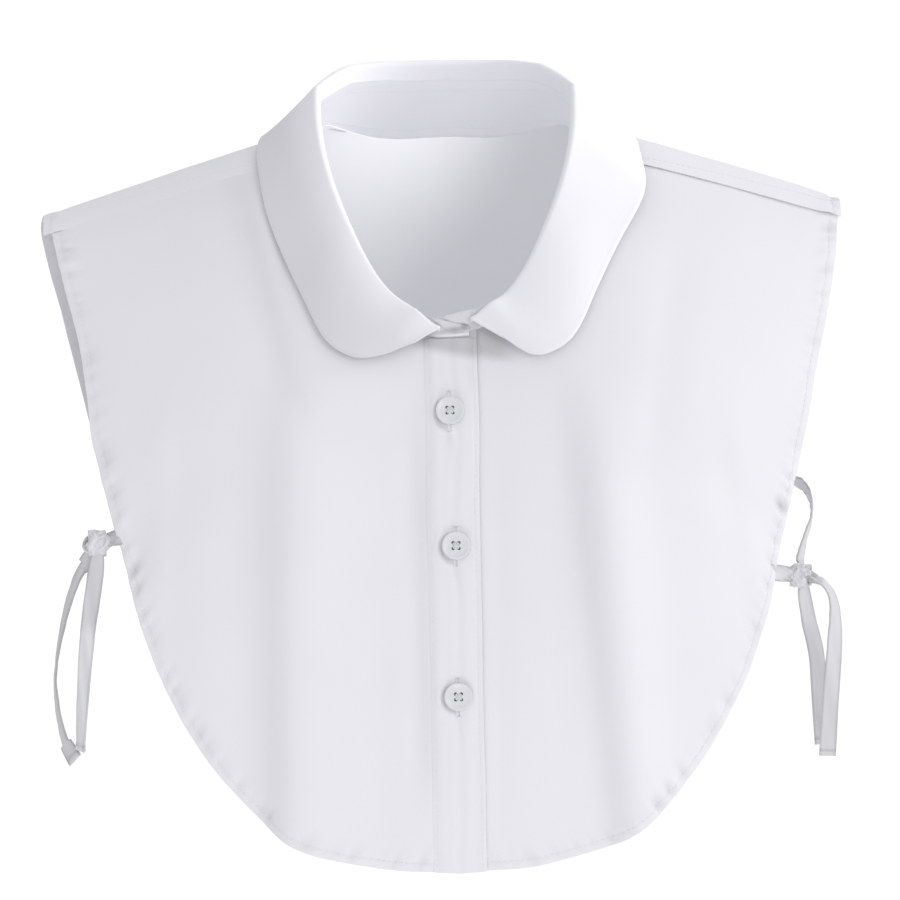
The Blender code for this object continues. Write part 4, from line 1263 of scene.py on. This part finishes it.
LEAF_FLARE = 0.0065
LEAF_FLARE_AT = math.radians(74)
LEAF_FLARE_SPREAD = math.radians(13)
LEAF_CROWN_FRONT = 0.0022
LEAF_CROWN_BACK = -0.0008


def from_front(path):
    return min(abs(path), 2 * math.pi - path)


def backness(path):
    return math.sin(from_front(path) / 2) ** 2


def roll_height(path):
    return smooth_row(ROLL, math.degrees(from_front(path)))[0] + ROLL_TILT * math.sin(path)


def stand_height(path):
    return roll_height(path) - RISE_FRONT - (RISE_BACK - RISE_FRONT) * backness(path)


def lap_offset(path):
    near_first = 1.0 - smoothstep(STAND_LAP, STAND_LAP_FADE, path)
    near_last = 1.0 - smoothstep(STAND_LAP, STAND_LAP_FADE, 2 * math.pi - path)
    return (COLLAR_CLOTH + SEAM) / 2 * (near_first - near_last)


def stand_foot(path, out):
    x, y = neck_plan(-path, out)
    layers = LAYER / 2 * lap_share(x) if math.cos(path) > 0 else 0.0
    return body_at_plan(x, y, CLOTH / 2 + layers + FOOT_GAP)


def stand_point(path, height, out):
    foot = stand_foot(path, out + lap_offset(path))
    foot.z += height
    return foot


# %% [markdown]
# The stand reaches down past the neck seam, because its seam turning is inside it. One row of stitches
# holds its lower edge and another its upper edge, as can be seen inside the back of the neck.

# %% Stand
STAND_SINK = 0.0016
STAND_SINK_SIDE = 0.0030
STAND_END_DROP = 0.0030
STAND_END = math.radians(15)
STAND_ROLL_DOWN = 0.0779
STAND_HOLLOW_DOWN = 0.0753
# painted shade on the crossed ends of the stand
CROSSED_ENDS_SHADE = 0.16


def stand_crease(past, z, seed):
    """Creases at the ends, where the band is pressed by the leaf and pulled by the front."""
    near = 1.0 - smoothstep(math.radians(13), math.radians(22), past)
    along = past * 0.058
    slant = (z - stand_foot(0.0, 0.0).z) + 0.22 * along
    fine = 0.00042 * uneven(slant / 0.0017, seed)
    broad = 0.00030 * uneven(along / 0.0040 + slant / 0.004, seed + 2)
    return near * (fine + broad)


# The band is squeezed where its ends cross: a roll along its foot, a hollow above it, small creases. The
# hollow, a notch and the creases get painted shade.
STAND_SHADOWS = (
    # x, z, half_width, half_height, lean, painted shade
    (0.0024, -0.0752, 0.0052, 0.0013, 0.06, 0.30),
    (0.0066, -0.0741, 0.0014, 0.0010, -0.30, 0.42),
    (-0.0072, -0.0712, 0.0042, 0.0006, -0.72, 0.28),
    (0.0030, -0.0767, 0.0042, 0.0003, 0.12, 0.16),
)


def stand_roll(x, z):
    """Roll along the foot of the crossed ends and the hollow above it."""
    at_ends = 1.0 - smoothstep(0.0065, 0.0115, abs(x - 0.0015))
    sway = 0.0004 * uneven(x / 0.0035, 5)
    roll = 0.00045 * bell(z + STAND_ROLL_DOWN + sway, 0.0009)
    return at_ends * (roll - 0.00050 * bell(z + STAND_HOLLOW_DOWN + sway, 0.0013))


def stand_shade(x, y, z):
    """Painted shade on the crossed ends, but for the roll along their foot, and darker painted shade in their
    hollow and creases.
    """
    if y > 0 or abs(x) > 0.030:
        return 0.0
    on_roll = (1.0 - smoothstep(0.0070, 0.0110, abs(x - 0.0015))) * (1.0 - smoothstep(-0.0774, -0.0764, z))
    total = CROSSED_ENDS_SHADE * (1.0 - smoothstep(0.010, 0.030, abs(x))) * (1.0 - on_roll)
    for dark_x, dark_z, half_width, half_height, lean, greyness in STAND_SHADOWS:
        rise = z - dark_z - lean * (x - dark_x)
        total += greyness * math.exp(-(((x - dark_x) / half_width) ** 2) - (rise / half_height) ** 2)
    return min(total, 0.50)


stand_paths = np.concatenate([
    np.linspace(-STAND_LAP, 0.1, 40)[:-1],
    np.linspace(0.1, 2 * math.pi - 0.1, 260),
    np.linspace(2 * math.pi - 0.1, 2 * math.pi + STAND_LAP, 40)[1:],
])
stand_outer, stand_inner = [], []
for path in stand_paths:
    past = min(path + STAND_LAP, 2 * math.pi + STAND_LAP - path)
    rounding = math.sqrt(1.0 - (1.0 - min(past / math.radians(5), 1.0)) ** 2)
    slope = STAND_END_DROP * (1.0 - smoothstep(0.0, STAND_END, past))
    top = stand_point(path, (stand_height(path) - slope) * (0.35 + 0.65 * rounding), 0.0).z
    sink = STAND_SINK + STAND_SINK_SIDE * math.sin(path) ** 8
    for face, out in ((stand_outer, COLLAR_CLOTH / 2), (stand_inner, -COLLAR_CLOTH / 2)):
        foot = stand_point(path, -sink, out)
        column = []
        for j in range(21):
            share = j / 20
            z = foot.z + (top - foot.z) * share
            pucker = 0.00012 * uneven(path / 0.11, 51) * bell(z - foot.z - 0.0032, 0.0015)
            groove = -0.00012 * bell(top - z - 0.0022, 0.0006) if top - foot.z > 0.010 else 0.0
            thin = 0.3 + 0.7 * smoothstep(0.0, 0.0016, top - z)
            centre = stand_point(path, 0.0, 0.0)
            x = centre.x + (foot.x - centre.x) * thin
            y = centre.y + (foot.y - centre.y) * thin
            outward = Vector((foot.x, foot.y, 0)).normalized()
            crease = stand_crease(past, z, 61 if path < math.pi else 67)
            if y < 0:
                crease += stand_roll(x, z)
            column.append(Vector((x, y, z)) + outward * (crease + math.copysign(pucker + groove, out)))
        face.append(column)
stand_outer = np.array([[tuple(p) for p in column] for column in stand_outer])
stand_inner = np.array([[tuple(p) for p in column] for column in stand_inner])
stand_grain = np.stack(
    np.broadcast_arrays(stand_paths[:, None] * 0.058, stand_inner[:, :, 2]), axis=-1
)
stand = wall_between("collar_stand_cloth", stand_outer, stand_inner, stand_grain, collar_cloth)
add_shade(stand, stand_shade)
inner_normals = grid_normals(stand_inner)
if inner_normals[170, 10, 1] > 0:
    inner_normals *= -1
behind = slice(60, 279)
seam_rows = []
for height_share in (0.80, 0.16):
    at = int(height_share * 20)
    seam_rows.append((stand_inner[behind, at], inner_normals[behind, at]))
stand_stitches = add_stitches("collar_stand_stitches", seam_rows)
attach(stand, "root")
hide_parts("collar_stand")
print("stand:", len(stand.data.polygons), "faces")

# %% [markdown]
# The leaf's section starts at the top of the stand, goes over the fold and falls to its edge. Near its
# ends it slips out and down in front of the stand. Its edge is seamed and turned out, so it is round and
# a little fuller than the cloth.

# %% Leaf
def leaf_edge(path):
    angle = from_front(path)
    side = -1 if path < math.pi else 1
    x, y, lift = smooth_row(LEAF_EDGE, math.degrees(angle))
    flare = 0.0
    if side > 0:
        flare = LEAF_FLARE * bell(angle - LEAF_FLARE_AT, LEAF_FLARE_SPREAD)
        y += LEAF_SHORT * (1.0 - smoothstep(LEAF_END_LEFT, LEAF_SHORT_FADE, angle))
    x = side * (x + flare)
    stand_off = LEAF_STAND_OFF * (1.0 - smoothstep(LEAF_STAND_OFF_FULL, LEAF_STAND_OFF_FADE, angle))
    return body_at_plan(x, y, lift + flare * 0.45) + body_normal(x, turn_at_plan(x, y)) * stand_off


def leaf_column(path, fold_steps, fall_steps):
    share = backness(path)
    radius = FOLD_FRONT + (FOLD_BACK - FOLD_FRONT) * share
    past = min(path - LEAF_END_RIGHT, 2 * math.pi - LEAF_END_LEFT - path)
    slip = 1.0 - smoothstep(LEAF_SLIP_FULL, LEAF_SLIP_START, past)
    drop = LEAF_DROP * (1.0 - smoothstep(0.0, LEAF_DROP_SPREAD, past))
    top = stand_point(path, stand_height(path) - 0.0005, 0.0).z
    base = stand_point(path, 0.0, slip * (COLLAR_CLOTH + SEAM))
    base.z = top - drop
    x0, y0 = neck_plan(-path, 0.0)
    x1, y1 = neck_plan(-path, 0.001)
    outward = Vector((x1 - x0, y1 - y0, 0.0)).normalized()
    seam_z = stand_point(path, 0.0, 0.0).z
    centre = Vector((base.x, base.y, seam_z + roll_height(path) - drop - radius)) + outward * radius
    column = [base, (base + centre - outward * radius) / 2]
    for k in range(fold_steps):
        a = math.radians(178 - 138 * k / (fold_steps - 1))
        column.append(centre + outward * (radius * math.cos(a)) + Vector((0, 0, radius * math.sin(a))))
    start = column[-1]
    fall = leaf_edge(path) - start
    crown = Vector((0, 0, 1)) - fall.normalized() * fall.normalized().z
    crown.normalize()
    rounding = LEAF_CROWN_FRONT + (LEAF_CROWN_BACK - LEAF_CROWN_FRONT) * min(2 * share, 1.0)
    rounding *= smoothstep(0.0, LEAF_SLIP_START, past)
    for i in range(1, fall_steps + 1):
        t = i / fall_steps
        t = t + 0.12 * math.sin(math.pi * t) * (1 - t)
        soft = 0.00025 * noise.noise(Vector((path * 6, t * 2.5, 4.4))) * math.sin(math.pi * t)
        column.append(start + fall * t + crown * (rounding * 4 * t * (1 - t) + soft))
    return column


leaf_share = np.linspace(0.0, 1.0, 361)
leaf_eased = leaf_share - 0.06 * np.sin(2 * math.pi * leaf_share)
leaf_paths = LEAF_END_RIGHT + (2 * math.pi - LEAF_END_RIGHT - LEAF_END_LEFT) * leaf_eased
leaf_middle = np.array([[tuple(p) for p in leaf_column(path, 9, 34)] for path in leaf_paths])
leaf_normals = grid_normals(leaf_middle)
if leaf_normals[180, 30, 1] < 0:
    leaf_normals *= -1
from_edge = np.linalg.norm(leaf_middle - leaf_middle[:, -1:, :], axis=2)
steps_in = np.minimum(np.arange(361), 360 - np.arange(361))[:, None] * 0.0009
from_edge = np.minimum(from_edge, steps_in)
fullness = 0.55 + 0.45 * np.clip(from_edge / 0.0009, 0, 1)
seam_roll = 0.00012 * np.exp(-(((from_edge - 0.0014) / 0.0009) ** 2))
half = (COLLAR_CLOTH / 2 * fullness + seam_roll)[:, :, None]
leaf_down = np.cumsum(np.full((1, leaf_middle.shape[1]), 0.0016), axis=1)
leaf_grain = np.stack(np.broadcast_arrays(leaf_paths[:, None] * 0.062, leaf_down), axis=-1)
leaf_top = leaf_middle + leaf_normals * half
leaf_under = leaf_middle - leaf_normals * half
leaf = wall_between("collar_leaf_cloth", leaf_top, leaf_under, leaf_grain, collar_cloth)


def leaf_shade(x, y, z):
    """Painted shade where the leaf lies down: a little on the side towards the light, more on the side away
    from it and more again at its front there.
    """
    lying = smoothstep(0.000, 0.016, math.hypot(x, y - NECK_Y) - 0.060) * (1.0 - smoothstep(0.004, 0.030, y))
    if x >= 0:
        return 0.02 * lying
    return 0.13 * lying + 0.05 * (1.0 - smoothstep(-0.060, -0.040, y))


add_shade(leaf, leaf_shade)
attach(leaf, "root")
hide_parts("collar_leaf")
print("leaf:", len(leaf.data.polygons), "faces")

# %% [markdown]
# The buttons are turned from white resin: a flat disc with a dished middle, a rounded rim and four holes.
# Thread crosses from hole to hole in the middle.

# %% Buttons
BUTTON_RADIUS = 0.0063
BUTTON_HEIGHT = 0.0024
BUTTON_HOLE_RADIUS = 0.00075
BUTTON_HOLE_PITCH = 0.0026
STRAND = 0.00019            # half the thickness of the button's thread


def button_frame(x, z):
    """Seat on the placket and the three directions of a button there."""
    place, normal = front_place(x, z, LAYER)
    up = normal.cross(Vector((1, 0, 0))).normalized()
    across = up.cross(normal).normalized()
    seat = place + normal * (CLOTH / 2 + 0.0002)
    turned = Matrix([[across[k], up[k], normal[k]] for k in range(3)]).to_4x4()
    return Matrix.Translation(seat) @ turned


def add_button(name, x, z):
    bpy.ops.object.select_all(action="DESELECT")
    bpy.ops.mesh.primitive_cylinder_add(
        vertices=96, radius=BUTTON_RADIUS, depth=BUTTON_HEIGHT, location=(0, 0, 0)
    )
    button = bpy.context.object
    button.name = name + "_turned"
    bpy.ops.object.mode_set(mode="EDIT")
    bm = bmesh.from_edit_mesh(button.data)
    top = [f for f in bm.faces if f.normal.z > 0.9][0]
    for inset, sink in ((0.0007, 0.0), (0.0009, -0.00035), (0.0006, -0.00020), (0.0012, -0.00004)):
        bmesh.ops.inset_region(bm, faces=[top], thickness=inset, depth=sink, use_even_offset=True)
    bmesh.update_edit_mesh(button.data)
    bpy.ops.object.mode_set(mode="OBJECT")
    rims = button.modifiers.new("Rounded rim", "BEVEL")
    rims.width = 0.00055
    rims.segments = 4
    rims.limit_method = "ANGLE"
    rims.angle_limit = math.radians(20)
    bpy.ops.object.modifier_apply(modifier=rims.name)
    for dx in (-0.5, 0.5):
        for dy in (-0.5, 0.5):
            bpy.ops.object.select_all(action="DESELECT")
            bpy.ops.mesh.primitive_cylinder_add(
                vertices=24,
                radius=BUTTON_HOLE_RADIUS,
                depth=0.01,
                location=(dx * BUTTON_HOLE_PITCH, dy * BUTTON_HOLE_PITCH, 0),
            )
            drill = bpy.context.object
            bpy.context.view_layer.objects.active = button
            cut = button.modifiers.new("Hole", "BOOLEAN")
            cut.operation = "DIFFERENCE"
            cut.solver = "EXACT"
            cut.object = drill
            bpy.ops.object.modifier_apply(modifier=cut.name)
            bpy.data.objects.remove(drill, do_unlink=True)
    button.data.transform(button_frame(x, z) @ Matrix.Translation((0, 0, BUTTON_HEIGHT / 2)))
    button.data.shade_smooth()
    button.data.set_sharp_from_angle(angle=math.radians(40))
    button.data.materials.clear()
    button.data.materials.append(resin)
    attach(button, "root")
    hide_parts(name)
    return button


def add_button_thread(name, x, z):
    """A cross of thread, three strands each way, down through the holes."""
    frame_here = button_frame(x, z)
    vertices, faces = [], []
    steps, sides = 14, 6
    for layer, turn in enumerate((math.radians(45), math.radians(135))):
        way = Vector((math.cos(turn), math.sin(turn), 0.0))
        across = Vector((-way.y, way.x, 0.0))
        reach = BUTTON_HOLE_PITCH * math.sqrt(0.5)
        for strand in (-1, 0, 1):
            line = []
            for i in range(steps + 1):
                t = i / steps
                height = BUTTON_HEIGHT - 0.00052 + (0.00030 + 0.00016 * layer) * math.sin(math.pi * t) ** 0.6
                if i in (0, steps):
                    height = 0.0003
                place = way * (reach * (2 * t - 1)) + across * (strand * 0.00030)
                line.append(place + Vector((0, 0, height)))
            first = len(vertices)
            for i, point in enumerate(line):
                tangent = (line[min(i + 1, steps)] - line[max(i - 1, 0)]).normalized()
                up = tangent.cross(across).normalized()
                for k in range(sides):
                    a = 2 * math.pi * k / sides
                    beside = point + across * (STRAND * math.cos(a))
                    vertices.append(beside + up * (STRAND * math.sin(a)))
            faces += tube_faces(first, steps, sides)
    sewn = add_mesh(name + "_thread", [tuple(frame_here @ v) for v in vertices], faces, button_thread)
    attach(sewn, "root")
    return sewn


for name, x, z in BUTTONS:
    button = add_button(name, x, z)
    add_button_thread(name, x, z)
    print(name, "has", len(button.data.polygons), "faces")

# %% [markdown]
# A white piece on white needs light that is even but not flat. The sky gives most of it. Three wide soft
# lamps add shape: one at the side, one in front and one from below. A fourth lights only the leaf, whose
# half on the right is the brightest part, and a very small one lights the inside of the neck. The floor
# and the sweep behind are plain and bright and give no light back.

# %% Light, floor and backdrop
SKY_STRENGTH = 0.77
LIT = Vector((0.0, -0.03, -0.12))
LAMP_AWAY = 3.0
LAMPS = (
    # name, degrees round to the right, degrees up, size, power
    ("side", 98, 26, 1.3, 22),
    ("front", 35, 15, 1.3, 10),
    ("low", 0, -40, 1.3, 13),
    ("collar_lamp", 86, 24, 0.9, 27),
    ("inside_lamp", 0, 0, 0.04, 0.016),
)
INSIDE_LAMP_AT = (0.050, -0.022, -0.030)
INSIDE_LAMP_BACK = Vector((0.107, -0.050, -0.022))
FLOOR_LEVEL = -1.2
SWEEP_RADIUS = 29
SWEEP_GLOW = 1.05

world = bpy.data.worlds.new("studio")
bpy.context.scene.world = world
world.use_nodes = True
world.node_tree.nodes["Background"].inputs["Color"].default_value = (0.97, 0.98, 1.0, 1.0)
world.node_tree.nodes["Background"].inputs["Strength"].default_value = SKY_STRENGTH


def add_lamp(name, round_right, up, size, power):
    """Round soft lamp, turned to the right of the front and up by these angles."""
    data = bpy.data.lights.new(name, "AREA")
    data.shape = "DISK"
    data.size = size
    data.energy = power
    lamp = bpy.data.objects.new(name, data)
    a, b = math.radians(round_right), math.radians(up)
    way = Vector((math.sin(a) * math.cos(b), -math.cos(a) * math.cos(b), math.sin(b)))
    lamp.location = LIT + way * LAMP_AWAY
    lamp.rotation_euler = way.to_track_quat("Z", "Y").to_euler()
    bpy.context.scene.collection.objects.link(lamp)
    return lamp


lamps = {row[0]: add_lamp(*row) for row in LAMPS}
inside_lamp = lamps["inside_lamp"]
inside_lamp.data.spread = math.radians(90)
inside_lamp.visible_camera = False
inside_lamp.location = INSIDE_LAMP_AT
inside_lamp.rotation_euler = INSIDE_LAMP_BACK.to_track_quat("Z", "Y").to_euler()
for lamp, receiver in ((lamps["collar_lamp"], leaf), (inside_lamp, back)):
    lit_only = bpy.data.collections.new(lamp.name + "_lights")
    lit_only.objects.link(receiver)
    lamp.light_linking.receiver_collection = lit_only

sweep_material = bpy.data.materials.new("white_sweep")
sweep_material.use_nodes = True
sweep_shader = sweep_material.node_tree.nodes["Principled BSDF"]
sweep_shader.inputs["Base Color"].default_value = (0.0, 0.0, 0.0, 1.0)
sweep_shader.inputs["Specular IOR Level"].default_value = 0.0
sweep_shader.inputs["Emission Color"].default_value = (1.0, 1.0, 1.0, 1.0)
sweep_shader.inputs["Emission Strength"].default_value = SWEEP_GLOW
bpy.ops.object.select_all(action="DESELECT")
bpy.ops.mesh.primitive_plane_add(size=60, location=(0, 0, FLOOR_LEVEL))
floor = bpy.context.object
floor.name = "floor"
bpy.ops.object.select_all(action="DESELECT")
bpy.ops.mesh.primitive_uv_sphere_add(segments=48, ring_count=24, radius=SWEEP_RADIUS, location=(0, 0, 0))
sweep = bpy.context.object
sweep.name = "sweep"
for surface in (floor, sweep):
    surface.data.materials.append(sweep_material)
    surface.visible_diffuse = False
    surface.visible_glossy = False
    surface.visible_transmission = False
    surface.visible_shadow = False
scene = bpy.context.scene
scene.view_settings.view_transform = "Standard"
scene.view_settings.look = "None"
scene.view_settings.exposure = 0.0
